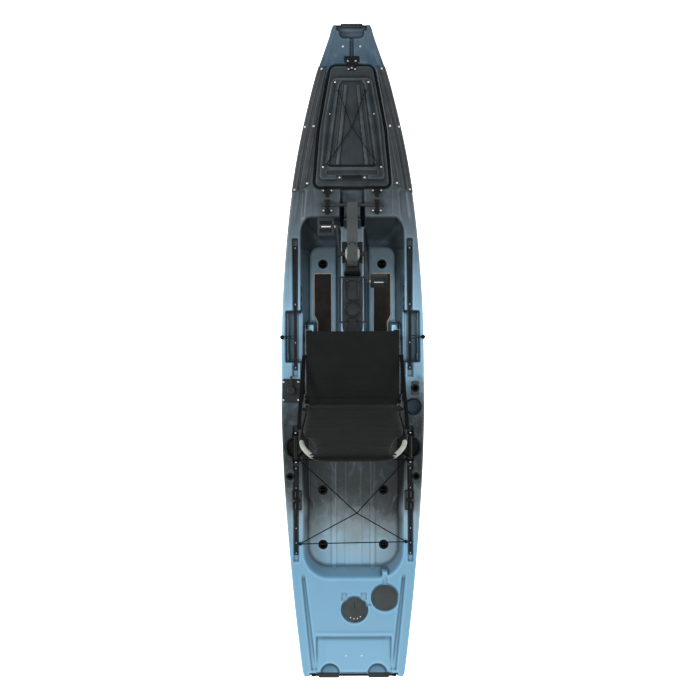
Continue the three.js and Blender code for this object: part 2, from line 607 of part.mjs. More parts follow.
// Side panels over the bow shoulders
const bowPanel = { front: 1786, rear: 1004, hatchGap: 14, edgeInset: 9, thick: 3, cornerY: 32, cornerX: 33 };
const bowPanelShares = [0.25, 0.5, 0.75];
sides.forEach(([side, sign]) => {
  const middles = bowPanelShares.map((share) => bowPanel.rear + (bowPanel.front - bowPanel.rear) * share);
  const edge = (y) => halfBeamAt(y) - bowPanel.edgeInset;
  const gap = hatch.gap + bowPanel.hatchGap;
  const outline = [[hatch.frontHalf + gap, bowPanel.front], [hatch.middleHalf + gap, hatch.middle],
    [hatch.rearHalf + gap, hatch.rear], [hatch.rearHalf + gap + bowPanel.cornerX,
      bowPanel.rear + bowPanel.cornerY],
    [edge(bowPanel.rear) - bowPanel.cornerX, bowPanel.rear], [edge(bowPanel.rear), bowPanel.rear],
    ...middles.map((y) => [edge(y), y]), [edge(bowPanel.front), bowPanel.front]];
  const shape = slab(outline.map(([x, y]) => [sign * x, y]), hull.sheerMid - overrun, skyHeight);
  const panel = shape.intersect(hullForm(-bowPanel.thick - clearance)).subtract(deckForm);
  place(`bow_panel_${side}`, panel, colours.panelBlack, 0.7);
});

// Hatch lid with its raised panel and knuckles, and the hinge ahead of it
const lidPanel = {
  rearIn: 100, frontIn: 71, middleAhead: 56, rearSide: 32, middleSide: 33, frontSide: 16, corner: 20,
  sideCorner: 40,
};
const lidTop = hullForm(-hatch.rise);
const panelTopLift = hatch.rise + hatch.panelRise;
const panelEnds = {
  rear: [hatch.rear + lidPanel.rearIn, hatch.rearHalf - lidPanel.rearSide],
  middle: [hatch.middle + lidPanel.middleAhead, hatch.middleHalf - lidPanel.middleSide],
  front: [hatch.front - lidPanel.frontIn, hatch.frontHalf - lidPanel.frontSide],
};
const hinge = {
  ahead: 14, lift: 8, radius: 7, pinRadius: 3, half: 40, middle: 18, gap: 1, pinProud: 2, lug: 44,
  plateAhead: 46,
  plateGap: 2, plateHalf: 44, plate: 4, tongue: 11,
};
const hingeY = hatch.front + hinge.ahead;
const hingeZ = deckAt(0, hingeY) + hinge.lift;
const panelOutline = grownOutline(sixCorners([...panelEnds.rear, lidPanel.corner],
  [...panelEnds.middle, lidPanel.sideCorner], [...panelEnds.front, lidPanel.corner]), 0);
const panelForm = slab(panelOutline, hatchLow, skyHeight).intersect(hullForm(-panelTopLift));
const lidHollow = slab(hatchOutline(-hatch.lip), hatchLow,
  skyHeight).intersect(hullForm(hatch.skin - hatch.rise));
const lidShell = slab(hatchOutline(0), hatchLow, skyHeight).intersect(lidTop)
  .subtract(hullForm(hatch.depth - clearance));
const knuckles = mirrored((side) => {
  const [near, far] = [side * (hinge.middle + hinge.gap), side * (hinge.half - hinge.pinProud)];
  return joined(sideRod(near, far, hingeY, hingeZ, hinge.radius, smallSides),
    spanBlock(near, far, hingeY - hinge.lug, hingeY, hingeZ - hinge.radius + overlap, hingeZ + overlap));
});
place('hatch_lid', cut(joined(lidShell.subtract(lidHollow), panelForm.subtract(lidTop.intersect(lidHollow)),
  ...knuckles),
  sideRod(-hinge.half, hinge.half, hingeY, hingeZ, hinge.pinRadius + clearance, smallSides)),
    colours.lidBlack, 0.7);
place('hatch_hinge', joined(
  sideRod(-hinge.middle, hinge.middle, hingeY, hingeZ, hinge.radius, smallSides),
  sideRod(-hinge.half, hinge.half, hingeY, hingeZ, hinge.pinRadius, smallSides),
  onDeck(joined(block(-hinge.plateHalf, hinge.plateHalf, hingeY + hinge.radius + hinge.plateGap,
    hingeY + hinge.plateAhead, hingeZ - overrun, hingeZ - hinge.lift + hinge.plate),
  block(overlap - hinge.middle, hinge.middle - overlap, hingeY, hingeY + hinge.tongue,
    hingeZ - hinge.lift + overlap, hingeZ)))), colours.plasticBlack, 0.6);

const lidTrack = {
  height: 6, half: 6, frontIn: 27, frontSide: 12, middleAhead: 41, middleSide: 34, rearIn: 14, rearSide: 23,
};
const lidTrackPoints = [
  [panelEnds.front[1] - lidTrack.frontSide, panelEnds.front[0] - lidTrack.frontIn],
  [panelEnds.middle[1] - lidTrack.middleSide, panelEnds.middle[0] + lidTrack.middleAhead],
  [panelEnds.rear[1] - lidTrack.rearSide, panelEnds.rear[0] + lidTrack.rearIn],
];
sides.forEach(([side, sign]) => {
  const outline = lidTrackPoints.map(([x, y]) => [sign * x - lidTrack.half, y])
    .concat([...lidTrackPoints].reverse().map(([x, y]) => [sign * x + lidTrack.half, y]));
  const bar = slab(outline, hatchLow, skyHeight).intersect(hullForm(-panelTopLift - lidTrack.height))
    .subtract(hullForm(-panelTopLift - clearance));
  place(`hatch_track_${side}`, bar, colours.aluminium, 0.4, 0.6);
});

const strap = { half: 84, ahead: 56, wide: 20, thick: 5, hand: 10, foot: 22 };
const strapY = hatch.rear + strap.ahead;
const strapArea = (half, lift) => slab(rectangle(-half, strapY - strap.wide / 2, half,
  strapY + strap.wide / 2),
  hatchLow, skyHeight).intersect(hullForm(-hatch.rise - lift));
place('hatch_strap', cut(joined(strapArea(strap.half, strap.thick),
  strapArea(strap.half - strap.foot, strap.thick + strap.hand)),
hullForm(-hatch.rise - clearance), strapArea(strap.half - strap.foot - strap.thick, strap.hand)),
  colours.rubberBlack);

// Cord stretched over the lid: front corner, centre, rear corner, across and back
const cord = { radius: 3, rise: 0.6, crossing: 7, lidSteps: 60, wellSteps: 50 };
function overLid(start, end, share, extra = 0) {
  const [x, y] = [start[0] + (end[0] - start[0]) * share, start[1] + (end[1] - start[1]) * share];
  return [x, y, deckAt(x, y, panelTopLift + cord.rise) + clearance + cord.radius + extra];
}
const lidCord = { front: [85, 1626], centre: [0, 1400], rear: [157, 1166], across: [0, 1160] };
const cordShares = [0, 0.35, 0.7];
const mirror = ([x, y]) => [-x, y];
const lidRun = (start, end, extra) => cordShares.map((share) => overLid(start, end, share, extra));
place('hatch_bungee', tube([
  ...lidRun(lidCord.front, lidCord.centre, 0), ...lidRun(lidCord.centre, mirror(lidCord.rear), 0),
  ...lidRun(mirror(lidCord.rear), lidCord.across, 0), ...lidRun(lidCord.across, lidCord.rear, 0),
  ...lidRun(lidCord.rear, lidCord.centre, cord.crossing), ...lidRun(lidCord.centre, mirror(lidCord.front),
    cord.crossing),
  overLid(mirror(lidCord.front), mirror(lidCord.front), 1, 0),
], cord.radius, { steps: cord.lidSteps, sides: cordSides }), colours.rubberBlack);

// Deck brackets that carry the lid latches and the crossbar, with both pairs of latches
const barZ = deckAt(drive.barX, drive.barY) + drive.barLift;
const bracket = { half: 30, front: 102, rear: -58, plate: 4, cradleHalf: 24, cradleFront: 18,
  cradleRear: -28 };
const lidLatch = { behind: 29, lift: 14, radius: 8, half: 20, tab: 34, tabThick: 5, ear: 6, gap: 1,
  pinRadius: 3 };
const barLatch = {
  ahead: 26, drop: 3, radius: 6, half: 16, over: 1, thick: 6, tabEnd: 62, tabDrop: 8, tabHalf: 13, ear: 5,
  gap: 1,
  earProud: 2, pinRadius: 2.5, heel: 4, toe: 5, kneeFront: 8, kneeRear: 12,
};
const latchZ = deckAt(drive.barX, hatch.rear - lidLatch.behind) + lidLatch.lift;
sides.forEach(([side, sign]) => {
  const x = sign * drive.barX;
  const latchY = hatch.rear - lidLatch.behind;
  const [latchBarY, latchBarZ] = [drive.barY + barLatch.ahead, barZ - barLatch.drop];
  // A pair of ears either side of a lever, reaching down into the deck plate
  const earPair = ({ half, gap, ear }, radius, y, z) => mirrored((end) => {
    const [near, far] = [x + end * (half + gap), x + end * (half + gap + ear)];
    return joined(sideRod(near, far, y, z, radius, tubeSides), spanBlock(near, far, y - radius, y + radius,
      z - overrun * 2, z));
  });
  const pinAt = ({ half, gap, ear, pinRadius }, y, z, extra = 0) => sideRod(x - half - gap - ear / 2,
    x + half + gap + ear / 2, y, z, pinRadius + extra, tubeSides);
  const plate = slab(rectangle(x - bracket.half, drive.barY + bracket.rear, x + bracket.half,
    drive.barY + bracket.front), barZ - overrun * 2, skyHeight).intersect(hullForm(-bracket.plate));
  const cradle = block(x - bracket.cradleHalf, x + bracket.cradleHalf, drive.barY + bracket.cradleRear,
    drive.barY + bracket.cradleFront, barZ - overrun * 2, barZ);
  const seat = onDeck(joined(plate, cradle, ...earPair(lidLatch, lidLatch.radius, latchY, latchZ),
    ...earPair(barLatch, barLatch.radius + barLatch.earProud, latchBarY, latchBarZ)));
  place(`deck_bracket_${side}`, joined(seat.subtract(sideRod(x - overrun, x + overrun, drive.barY, barZ,
    drive.barRadius + clearance)), pinAt(lidLatch, latchY, latchZ), pinAt(barLatch, latchBarY, latchBarZ)),
  colours.plasticBlack, 0.6);

  const tabTop = latchZ + lidLatch.tabThick / 2;
  const tab = slab([[x - lidLatch.half, latchY], [x + lidLatch.half, latchY],
    [x + lidLatch.half / 2, latchY - lidLatch.tab], [x - lidLatch.half / 2, latchY - lidLatch.tab]],
  tabTop - lidLatch.tabThick, tabTop);
  place(`hatch_latch_${side}`, joined(sideRod(x - lidLatch.half, x + lidLatch.half, latchY, latchZ,
    lidLatch.radius,
    smallSides), tab).subtract(pinAt(lidLatch, latchY, latchZ, clearance)), colours.plasticBlack, 0.55);

  const low = barZ + drive.barRadius + barLatch.over;
  const high = low + barLatch.thick;
  const [frontKnee, rearKnee] = [drive.barY + barLatch.kneeFront, drive.barY - barLatch.kneeRear];
  const tabEnd = drive.barY - barLatch.tabEnd;
  const lever = sideProfile([[latchBarY - barLatch.heel, latchBarZ], [latchBarY + barLatch.toe, latchBarZ],
    [latchBarY + barLatch.toe, low], [frontKnee, high], [rearKnee, high], [tabEnd, high - barLatch.tabDrop],
    [tabEnd, low - barLatch.tabDrop], [rearKnee, low], [frontKnee, low]], x - barLatch.tabHalf,
      x + barLatch.tabHalf);
  place(`bar_latch_${side}`, joined(sideRod(x - barLatch.half, x + barLatch.half, latchBarY, latchBarZ,
    barLatch.radius, smallSides), lever).subtract(pinAt(barLatch, latchBarY, latchBarZ, clearance)),
  colours.plasticBlack, 0.55);
});
place('cross_bar', sideRod(-drive.barHalf, drive.barHalf, drive.barY, barZ, drive.barRadius),
  colours.aluminium, 0.4, 0.7);

// Drive mast, gearbox, covers, axle, cranks and pedals
const axleRod = (fromX, toX, radius, sides) => sideRod(fromX, toX, drive.axleY, drive.axleZ, radius, sides);
const mastShares = {
  noseTop: 0.5, kneeAhead: 1.5, kneeRise: 1.5, rearTop: 0.62, rearLow: 0.3, throatAhead: 1.4, throatDrop: 1.2,
};
const noseY = drive.barY + drive.mastNose;
const mastProfile = [
  [noseY, barZ - drive.mastTop], [noseY, barZ + drive.mastTop * mastShares.noseTop], [drive.barY,
    barZ + drive.mastTop],
  [drive.axleY + drive.drumRadius * mastShares.kneeAhead, drive.axleZ + drive.mastTop * mastShares.kneeRise],
  [drive.axleY, drive.axleZ + drive.drumRadius * mastShares.rearTop],
  [drive.axleY, drive.axleZ - drive.drumRadius * mastShares.rearLow],
  [drive.axleY + drive.drumRadius * mastShares.throatAhead,
    drive.axleZ - drive.mastTop * mastShares.throatDrop],
];
const mastOut = drive.mastHalf + overrun;
place('drive_mast', cut(sideProfile(mastProfile, -drive.mastHalf, drive.mastHalf),
  sideRod(-mastOut, mastOut, drive.barY, barZ, drive.barRadius + clearance),
  axleRod(-mastOut, mastOut, drive.drumRadius + clearance, wideSides)), colours.castGrey, 0.5, 0.3);
const drum = joined(axleRod(-drive.drumHalf, drive.drumHalf, drive.drumRadius, wideSides),
  rod([0, drive.axleY, drive.stubZ], [0, drive.axleY, drive.axleZ], drive.stubRadius));
const axleBore = axleRod(-drive.armInner, drive.armInner, drive.axleRadius + clearance);
place('gearbox', drum.subtract(axleBore), colours.castGrey, 0.45, 0.4);
const coverStart = drive.drumHalf + clearance;
const coverShare = 0.7;
place('crank_axle', axleRod(clearance - drive.armInner, drive.armInner - clearance, drive.axleRadius),
  colours.steel, 0.35, 0.8);
sides.forEach(([side, sign]) => {
  const cover = joined(axleRod(sign * coverStart, sign * (coverStart + drive.coverThick / 2),
    drive.coverRadius),
    axleRod(sign * coverStart, sign * (coverStart + drive.coverThick), drive.coverRadius * coverShare));
  place(`gearbox_cover_${side}`, cover.subtract(axleBore), colours.silver, 0.35, 0.7);

  const spindleY = drive.axleY - sign * drive.crank;
  const [nearX, farX] = [drive.armInner, drive.armInner + drive.armFlare];
  const plan = [[nearX, drive.axleY], [farX, spindleY], [farX + drive.armThick, spindleY],
    [nearX + drive.armThick, drive.axleY]].map(([x, y]) => [sign * x, y]);
  const pedalIn = farX + drive.armThick + drive.pedalGap;
  const arm = joined(
    slab(plan, drive.axleZ - drive.armWidth / 2, drive.axleZ + drive.armWidth / 2),
    axleRod(sign * nearX, sign * (nearX + drive.armThick + drive.bossProud), drive.bossRadius),
    sideRod(sign * (farX - overlap), sign * (farX + drive.armThick + overlap), spindleY, drive.axleZ,
      drive.armWidth / 2 + overlap),
    sideRod(sign * (farX + overlap), sign * (pedalIn + drive.pedalWide - drive.spindleShort), spindleY,
      drive.axleZ,
      drive.spindleRadius, smallSides));
  place(`crank_${side}`, arm, colours.plasticBlack, 0.5, 0.3);

  // The pedal is made level round its spindle, then turned to its rest pose
  const [halfWide, halfLong, halfThick] = [drive.pedalWide / 2, drive.pedalLong / 2, drive.pedalThick / 2];
  const cage = slab(rectangle(-halfWide, -halfLong, halfWide, halfLong, drive.pedalCorner), -halfThick,
    halfThick);
  const windowHalf = halfWide - drive.pedalBar;
  const windows = mirrored((end) => {
    const [low, high] = [end * drive.pedalBar, end * (halfLong - drive.pedalBar)].sort((a, b) => a - b);
    return block(-windowHalf, windowHalf, low, high, -overrun, overrun);
  });
  const bore = sideRod(-halfWide - overrun, halfWide + overrun, 0, 0, drive.spindleRadius + clearance,
    smallSides);
  const pedal = place(`pedal_${side}`, cut(cage, ...windows, bore), colours.plasticBlack, 0.6);
  pedal.position.set(sign * (pedalIn + halfWide), spindleY, drive.axleZ);
  pedal.rotation.x = sign > 0 ? THREE.MathUtils.degToRad(pedalTiltDegrees) : 0;
});

// Dock: a hood behind the gearbox, a flange over the well and a riser down to the leg's yoke
const dock = {
  half: 60, behind: 130, rise: 112, hoodFront: 38, slope: 26, corner: 14, flange: 8, flangeFront: 88,
  flangeHalf: 66,
  flangeIn: 10, riser: 24, seatGap: 2,
};
const shoulderShare = 0.7;
const dockBase = cockpit.humpTop + clearance;
const hoodFront = drive.axleY - dock.hoodFront;
const hoodRear = drive.axleY - dock.behind;
const hood = prism([[dockBase, rectangle(-dock.half, hoodRear, dock.half, hoodFront, dock.corner)],
  [cockpit.humpTop + dock.rise, rectangle(-dock.half * shoulderShare, hoodRear + dock.slope,
    dock.half * shoulderShare,
    hoodFront, dock.corner)]]);
const flange = block(-dock.flangeHalf, dock.flangeHalf, hoodFront - dock.flangeIn,
  drive.axleY + dock.flangeFront,
  dockBase, dockBase + dock.flange);
const riser = rod([0, drive.axleY, yokeTop], [0, drive.axleY, drive.stubZ - clearance], dock.riser,
  roundSides);
const yoke = mirrored((side) => {
  const top = yokeTop + leg.yokeBar;
  const outline = [[-leg.yokeHalf, top], [-leg.yokeHalf, leg.pivotZ], [-leg.yokeFoot,
    leg.pivotZ - leg.yokeDrop],
    [leg.yokeFoot, leg.pivotZ - leg.yokeDrop], [leg.yokeHalf, leg.pivotZ], [leg.yokeHalf, top]];
  const [low, high] = [side * (leg.headHalf + leg.sideGap), side * yokeOut].sort((a, b) => a - b);
  return sideProfile(outline.map(([y, z]) => [drive.axleY + y, z]), low, high);
});
const yokeBar = block(-yokeOut, yokeOut, drive.axleY - leg.yokeHalf, drive.axleY + leg.yokeHalf, yokeTop,
  yokeTop + leg.yokeBar);
place('drive_dock', joined(cut(joined(hood, flange, riser, ...yoke, yokeBar),
  axleRod(-dock.flangeHalf, dock.flangeHalf, drive.drumRadius + dock.seatGap, wideSides)),
sideRod(-yokeOut, yokeOut, drive.axleY, leg.pivotZ, leg.pinRadius, smallSides)), colours.plasticBlack, 0.6);

// Folding leg and propeller, lying aft in the tunnel
const tailShare = 0.8;
const legPlan = [[-leg.rootHalf, drive.axleY - leg.rootAhead], [leg.rootHalf, drive.axleY - leg.rootAhead],
  [leg.tipHalf, propY + leg.tipBack], [leg.hubRadius, propY + leg.hubAhead],
  [leg.hubRadius * tailShare, propY - leg.tipBack], [0, propY - leg.tail],
  [-leg.hubRadius * tailShare, propY - leg.tipBack], [-leg.hubRadius, propY + leg.hubAhead],
  [-leg.tipHalf, propY + leg.tipBack]];
const legBody = joined(sideRod(-leg.headHalf, leg.headHalf, drive.axleY, leg.pivotZ, leg.headRadius),
  slab(legPlan, leg.pivotZ - leg.thick / 2, leg.pivotZ + leg.thick / 2));
const pinBore = sideRod(-yokeOut, yokeOut, drive.axleY, leg.pivotZ, leg.pinRadius + clearance, smallSides);
place('drive_leg', cut(legBody, pinBore, rod([0, propY, leg.pivotZ], [0, propY, propLow + leg.hubTall],
  leg.pinRadius + clearance)), colours.castGrey, 0.5, 0.3);
const bladeShares = [[0.1, 0.45], [0.35, 0.85], [0.65, 1], [0.88, 0.8], [1, 0.3]];
function blade(sign) {
  const lean = THREE.MathUtils.degToRad(bladeLeanDegrees);
  const rings = bladeShares.map(([reachShare, chordShare]) => {
    const [half, thick] = [leg.bladeChord * chordShare / 2, leg.bladeThick / 2];
    return [[-half, -thick], [half, -thick], [half, thick], [-half, thick]].map(([u, w]) => new THREE.Vector3(
      sign * (u * Math.cos(lean) - w * Math.sin(lean)), propY + sign * leg.propRadius * reachShare,
      propLow + leg.hubTall / 2 + u * Math.sin(lean) + w * Math.cos(lean)));
  });
  return solid(loft(rings, (point) => new THREE.Vector2(point.x, point.z)));
}
place('propeller', joined(rod([0, propY, propLow], [0, propY, propLow + leg.hubTall], leg.hubRadius,
  roundSides),
  rod([0, propY, leg.pivotZ + leg.shaftIn], [0, propY, propLow + overlap], leg.pinRadius), blade(1),
    blade(-1)),
colours.propBlack, 0.45);

// Console pod on the hump, with a recess, a ring and a cord along each side
const pod = {
  gap: 1, rear: 58, tall: 26, half: 66, tailHalf: 50, tailY: 190, corner: 20, frontCorner: 10, edge: 12,
  recessHalf: 46, recessIn: 22, recessLong: 138, recessDepth: 14, recessWall: 10, recessCorner: 12,
  ringBehind: 209, ringOuter: 52, ringInner: 41, ringRise: 6, earIn: 7, earOut: 18, ear: 12, earLow: 6,
  earTop: 8,
  cordRise: 13, cordIn: 5,
};
const podTop = dockBase + pod.tall;
const podFront = hoodRear - pod.gap;
const earYs = [podFront - pod.earIn, pod.tailY];
const earHalf = pod.half + pod.earOut;
const podPlan = (inset) => grownOutline(sixCorners([pod.rear, pod.tailHalf, pod.corner], [pod.tailY,
  pod.half, pod.corner],
  [podFront, pod.half, pod.frontCorner]), -inset);
const ears = earYs.map((y) => block(-earHalf, earHalf, y - pod.ear / 2, y + pod.ear / 2,
  dockBase + pod.earLow,
  dockBase + pod.cordRise + pod.earTop));
const trayFront = podFront - pod.recessIn;
const trayPlan = (inset) => rectangle(inset - pod.recessHalf, trayFront - pod.recessLong + inset,
  pod.recessHalf - inset,
  trayFront - inset, pod.recessCorner);
const ringY = podFront - pod.ringBehind;
const shell = prism([[dockBase, podPlan(0)], [podTop - pod.edge / 2, podPlan(0)], [podTop,
  podPlan(pod.edge)]]);
const tray = prism([[podTop - pod.recessDepth, trayPlan(pod.recessWall)], [podTop + overlap, trayPlan(0)],
  [podTop + overrun, trayPlan(0)]]);
const ring = slab(circle(0, ringY, pod.ringOuter), podTop - pod.edge, podTop + pod.ringRise)
  .subtract(slab(circle(0, ringY, pod.ringInner), podTop - pod.edge / 2, podTop + overrun));
place('console_pod', joined(joined(shell, ...ears).subtract(tray), ring), colours.plasticBlack, 0.75);
sides.forEach(([side, sign]) => {
  const [front, rear] = earYs;
  const cordX = sign * (earHalf - pod.cordIn);
  place(`console_bungee_${side}`, rod([cordX, rear + pod.ear / 2 + clearance, dockBase + pod.cordRise],
    [cordX, front - pod.ear / 2 - clearance, dockBase + pod.cordRise], cord.radius, tubeSides),
      colours.rubberBlack);
});

// Foot pads on the footwell floor
const pad = { inner: 130, outer: 252, front: 511, stepY: 214, stepIn: 22, stepLong: 20, rear: 60, thick: 6,
  corner: 12,
  bevel: 4 };
sides.forEach(([side, sign]) => {
  const narrow = pad.outer - pad.stepIn;
  const corners = [[pad.inner, pad.rear, pad.corner], [narrow, pad.rear, pad.corner],
    [narrow, pad.stepY - pad.stepLong, pad.corner], [pad.outer, pad.stepY + pad.stepLong, pad.corner],
    [pad.outer, pad.front, pad.corner], [pad.inner, pad.front, pad.corner]];
  const outline = (inset) => grownOutline(corners, -inset).map(([x, y]) => [sign * x, y]);
  const low = cockpit.floor + clearance;
  place(`foot_pad_${side}`, prism([[low, outline(0)], [low + pad.thick / 2, outline(0)],
    [low + pad.thick, outline(pad.bevel)]]), colours.padBlack, 0.9);
});

// Seat: a tube frame on the ledges with a pan cushion, and a hinged back frame with its cover
const seat = {
  backSteps: 34,
  front: 140, rear: -322, railX: 284, railZ: 418, tubeRadius: 11, crossZ: 394, footRadius: 22, footThick: 6,
  footFront: 96, footRear: -262, panHalf: 271, panIn: 6, panThick: 26, panCorner: 30, hingeY: -334,
  hingeZ: 478,
  earX: 299, earThick: 6, earHalf: 16, earFoot: 8, earLong: 60, tieIn: 30, backLength: 486, frameBow: 316,
  pinRadius: 6, pinIn: 6, bossIn: 12, bossProud: 2, bossGap: 1, coverBack: 12, coverThick: 34, coverHalf: 304,
};
const seatLeanDegrees = 40;
const alongX = (x, y, z, radius) => sideRod(-x, x, y, z, radius, tubeSides);
const railTube = (sign) => rod([sign * seat.railX, seat.front, seat.railZ], [sign * seat.railX, seat.rear,
  seat.railZ],
  seat.tubeRadius, tubeSides);
const ledgeZ = cockpit.ledgeTop + clearance;
const seatLegs = [-1, 1].flatMap((sign) => [seat.footFront, seat.footRear].flatMap((y) => {
  const x = sign * seat.railX;
  return [rod([x, y, ledgeZ + overlap], [x, y, seat.railZ], seat.tubeRadius, tubeSides),
    rod([x, y, ledgeZ], [x, y, ledgeZ + seat.footThick], seat.footRadius, smallSides)];
}));
const seatEars = mirrored((sign) => {
  const [low, high] = [sign * seat.earX, sign * (seat.earX + seat.earThick)].sort((a, b) => a - b);
  const footY = seat.rear + seat.earLong;
  const plate = sideProfile([[seat.hingeY - seat.earHalf, seat.hingeZ], [seat.hingeY,
    seat.hingeZ + seat.earHalf],
    [seat.hingeY + seat.earHalf, seat.hingeZ], [footY, seat.railZ + seat.earFoot], [footY,
      seat.railZ - seat.earFoot],
    [seat.hingeY - seat.earHalf, seat.railZ - seat.earFoot]], low, high);
  const tieY = seat.rear + seat.tieIn;
  return joined(plate, rod([sign * seat.railX, tieY, seat.railZ], [sign * (seat.earX + overlap), tieY,
    seat.railZ],
    seat.earFoot, tubeSides));
});
const earOut = seat.earX + seat.earThick;
place('seat_frame', joined(...mirrored(railTube), alongX(seat.railX, seat.footFront, seat.crossZ,
  seat.tubeRadius),
  alongX(seat.railX, seat.footRear, seat.crossZ, seat.tubeRadius), ...seatLegs, ...seatEars).subtract(
  sideRod(-earOut - overrun, earOut + overrun, seat.hingeY, seat.hingeZ, seat.pinRadius + clearance)),
colours.castGrey, 0.4, 0.5);

// A cushion's levels: how high each stands and how far it is drawn in, as shares of its thickness
const panShares = [[0, 0.19], [0.15, 0.04], [0.33, 0], [0.51, 0.08], [0.58, 0.2], [0.65, 0.08], [0.8, 0.31],
  [0.91, 1],
  [0.98, 3.1], [1, 6.2]];
const panOutline = roundedOutline(wellCorners(seat.panHalf, seat.rear + seat.panIn, seat.panCorner,
  seat.panHalf, seat.front, seat.panCorner));
const panLow = seat.crossZ + seat.tubeRadius + clearance;
place('seat_pan', prism(panShares.map(([rise, inset]) => [panLow + rise * seat.panThick,
  drawnIn(panOutline, inset * seat.panThick)])), colours.fabricBlack, 0.9);

// Back frame and cover are made in the plane of the back: x across, s up the back, n out of its front
const leanAngle = THREE.MathUtils.degToRad(seatLeanDegrees);
const backPoint = (x, s, n) => [x, seat.hingeY - s * Math.sin(leanAngle) + n * Math.cos(leanAngle),
  seat.hingeZ + s * Math.cos(leanAngle) + n * Math.sin(leanAngle)];
const frameShares = [[0.899, 0], [0.911, 0.2], [0.975, 0.42], [1, 0.58], [0.956, 0.74], [0.791, 0.9], [0.589,
  0.965]];
const frameTopShare = 0.97;
const frameSide = (sign) => frameShares.map(([x, share]) => backPoint(sign * x * seat.frameBow,
  share * seat.backLength, 0));
const backLoop = [...frameSide(-1), backPoint(0, seat.backLength * frameTopShare, 0),
  ...frameSide(1).reverse()];
const hingeFittings = mirrored((sign) => joined(
  sideRod(sign * (seat.railX - seat.pinIn), sign * earOut, seat.hingeY, seat.hingeZ, seat.pinRadius,
    tubeSides),
  sideRod(sign * (seat.railX - seat.bossIn), sign * (seat.earX - seat.bossGap), seat.hingeY, seat.hingeZ,
    seat.tubeRadius + seat.bossProud, tubeSides)));
place('back_frame', joined(tube(backLoop, seat.tubeRadius, { steps: seat.backSteps, sides: tubeSides }),
  ...hingeFittings),
  colours.castGrey, 0.4, 0.5);

const coverShapeShares = [[0.849, 0.08, 0.1], [0.895, 0.3, 0.2], [1, 0.5, 0.1], [0.987, 0.63, 0.046],
  [0.809, 0.72, 0.2], [0.757, 0.98, 0.1]];
const coverCorners = coverShapeShares.map(([x, share, radiusShare]) => [x * seat.coverHalf,
  share * seat.backLength,
  radiusShare * seat.coverHalf]);
const coverOutline = roundedOutline([...coverCorners, ...coverCorners.map(([x, s, radius]) => [-x, s,
  radius]).reverse()]);
const coverShares = [[0, 0.12], [0.09, 0], [0.27, 0], [0.42, 0.09], [0.48, 0.18], [0.55, 0.09], [0.73, 0.26],
  [0.88, 0.82],
  [0.97, 2.06], [1, 3.53]];
const coverRings = coverShares.map(([rise, inset]) => drawnIn(coverOutline, inset * seat.coverThick).map(([x,
  s]) =>
  new THREE.Vector3(...backPoint(x, s, seat.coverBack + rise * seat.coverThick))));
const acrossBack = (point) => new THREE.Vector2(point.x, (point.z - seat.hingeZ) * Math.cos(leanAngle)
  - (point.y - seat.hingeY) * Math.sin(leanAngle));
place('back_cover', solid(loft(coverRings, acrossBack)), colours.fabricBlack, 0.9);

// Gear tracks in the gunwale slots, with sliding brackets on the rear pair
function trackBar(x, low, high, base) {
  return block(x - track.half, x + track.half, low, high, base, base + track.height)
    .subtract(block(x - track.groove / 2, x + track.groove / 2, low - overrun, high + overrun,
      base + track.height - track.grooveDeep, base + track.height + overrun));
}
const slide = {
  inner: 38, outer: 11, front: -868, rear: -991, rise: 3, tall: 22, corner: 6, footHalf: 8, knobRadius: 13,
  knobTall: 14,
  knobIn: 12,
};
sides.forEach(([side, sign]) => {
  const x = sign * trackX;
  const rearBase = slotFloor(rearSlot) + clearance;
  place(`track_front_${side}`, trackBar(x, track.frontStart, track.frontEnd,
    slotFloor(frontSlot) + clearance),
    colours.aluminium, 0.4, 0.6);
  place(`track_rear_${side}`, trackBar(x, track.rearStart, track.rearEnd, rearBase), colours.aluminium, 0.4,
    0.6);
  const low = hull.sheerMid + slide.rise;
  const high = low + slide.tall;
  const [lowX, highX] = [x - sign * slide.inner, x + sign * slide.outer].sort((a, b) => a - b);
  const [knobX, knobY] = [x - sign * slide.knobIn, (slide.front + slide.rear) / 2];
  place(`slide_bracket_${side}`, joined(
    slab(rectangle(lowX, slide.rear, highX, slide.front, slide.corner), low, high),
    block(x - slide.footHalf, x + slide.footHalf, slide.rear, slide.front,
      rearBase + track.height + clearance,
      low + overlap),
    rod([knobX, knobY, high - overlap], [knobX, knobY, high + slide.knobTall], slide.knobRadius)),
  colours.plasticBlack, 0.55);
});

// Steering plate and lever on the port gunwale
const steering = {
  x: -386, y: -240, plateHalfX: 56, plateFront: -167, plateRear: -318, plate: 5, plateCorner: 12,
  plateSeat: 2,
  pinTall: 12, pinRadius: 6, knobRadius: 29, knobTall: 30, leverReach: 90, leverHalf: 7, leverLow: 9,
  leverThick: 9,
};
const knobShare = 0.82;
const plateTop = hull.sheerMid + steering.plate;
const upright = (low, high, radius, sides = smallSides, endRadius = radius) => rod([steering.x, steering.y,
  low],
  [steering.x, steering.y, high], radius, sides, endRadius);
place('steering_plate', onDeck(joined(slab(rectangle(steering.x - steering.plateHalfX, steering.plateRear,
  steering.x + steering.plateHalfX, steering.plateFront, steering.plateCorner),
    hull.sheerMid - steering.plateSeat,
plateTop), upright(hull.sheerMid, plateTop + steering.pinTall, steering.pinRadius))), colours.plasticBlack,
  0.6);
const leverBase = plateTop + clearance;
const leverLow = leverBase + steering.leverLow;
place('steering_lever', joined(upright(leverBase, leverBase + steering.knobTall, steering.knobRadius,
  roundSides,
  steering.knobRadius * knobShare), block(steering.x - steering.leverHalf, steering.x + steering.leverHalf,
    steering.y,
  steering.y + steering.leverReach, leverLow, leverLow + steering.leverThick)).subtract(
  upright(leverBase - overlap, leverBase + steering.pinTall + overlap, steering.pinRadius + clearance)),
colours.plasticBlack, 0.5);

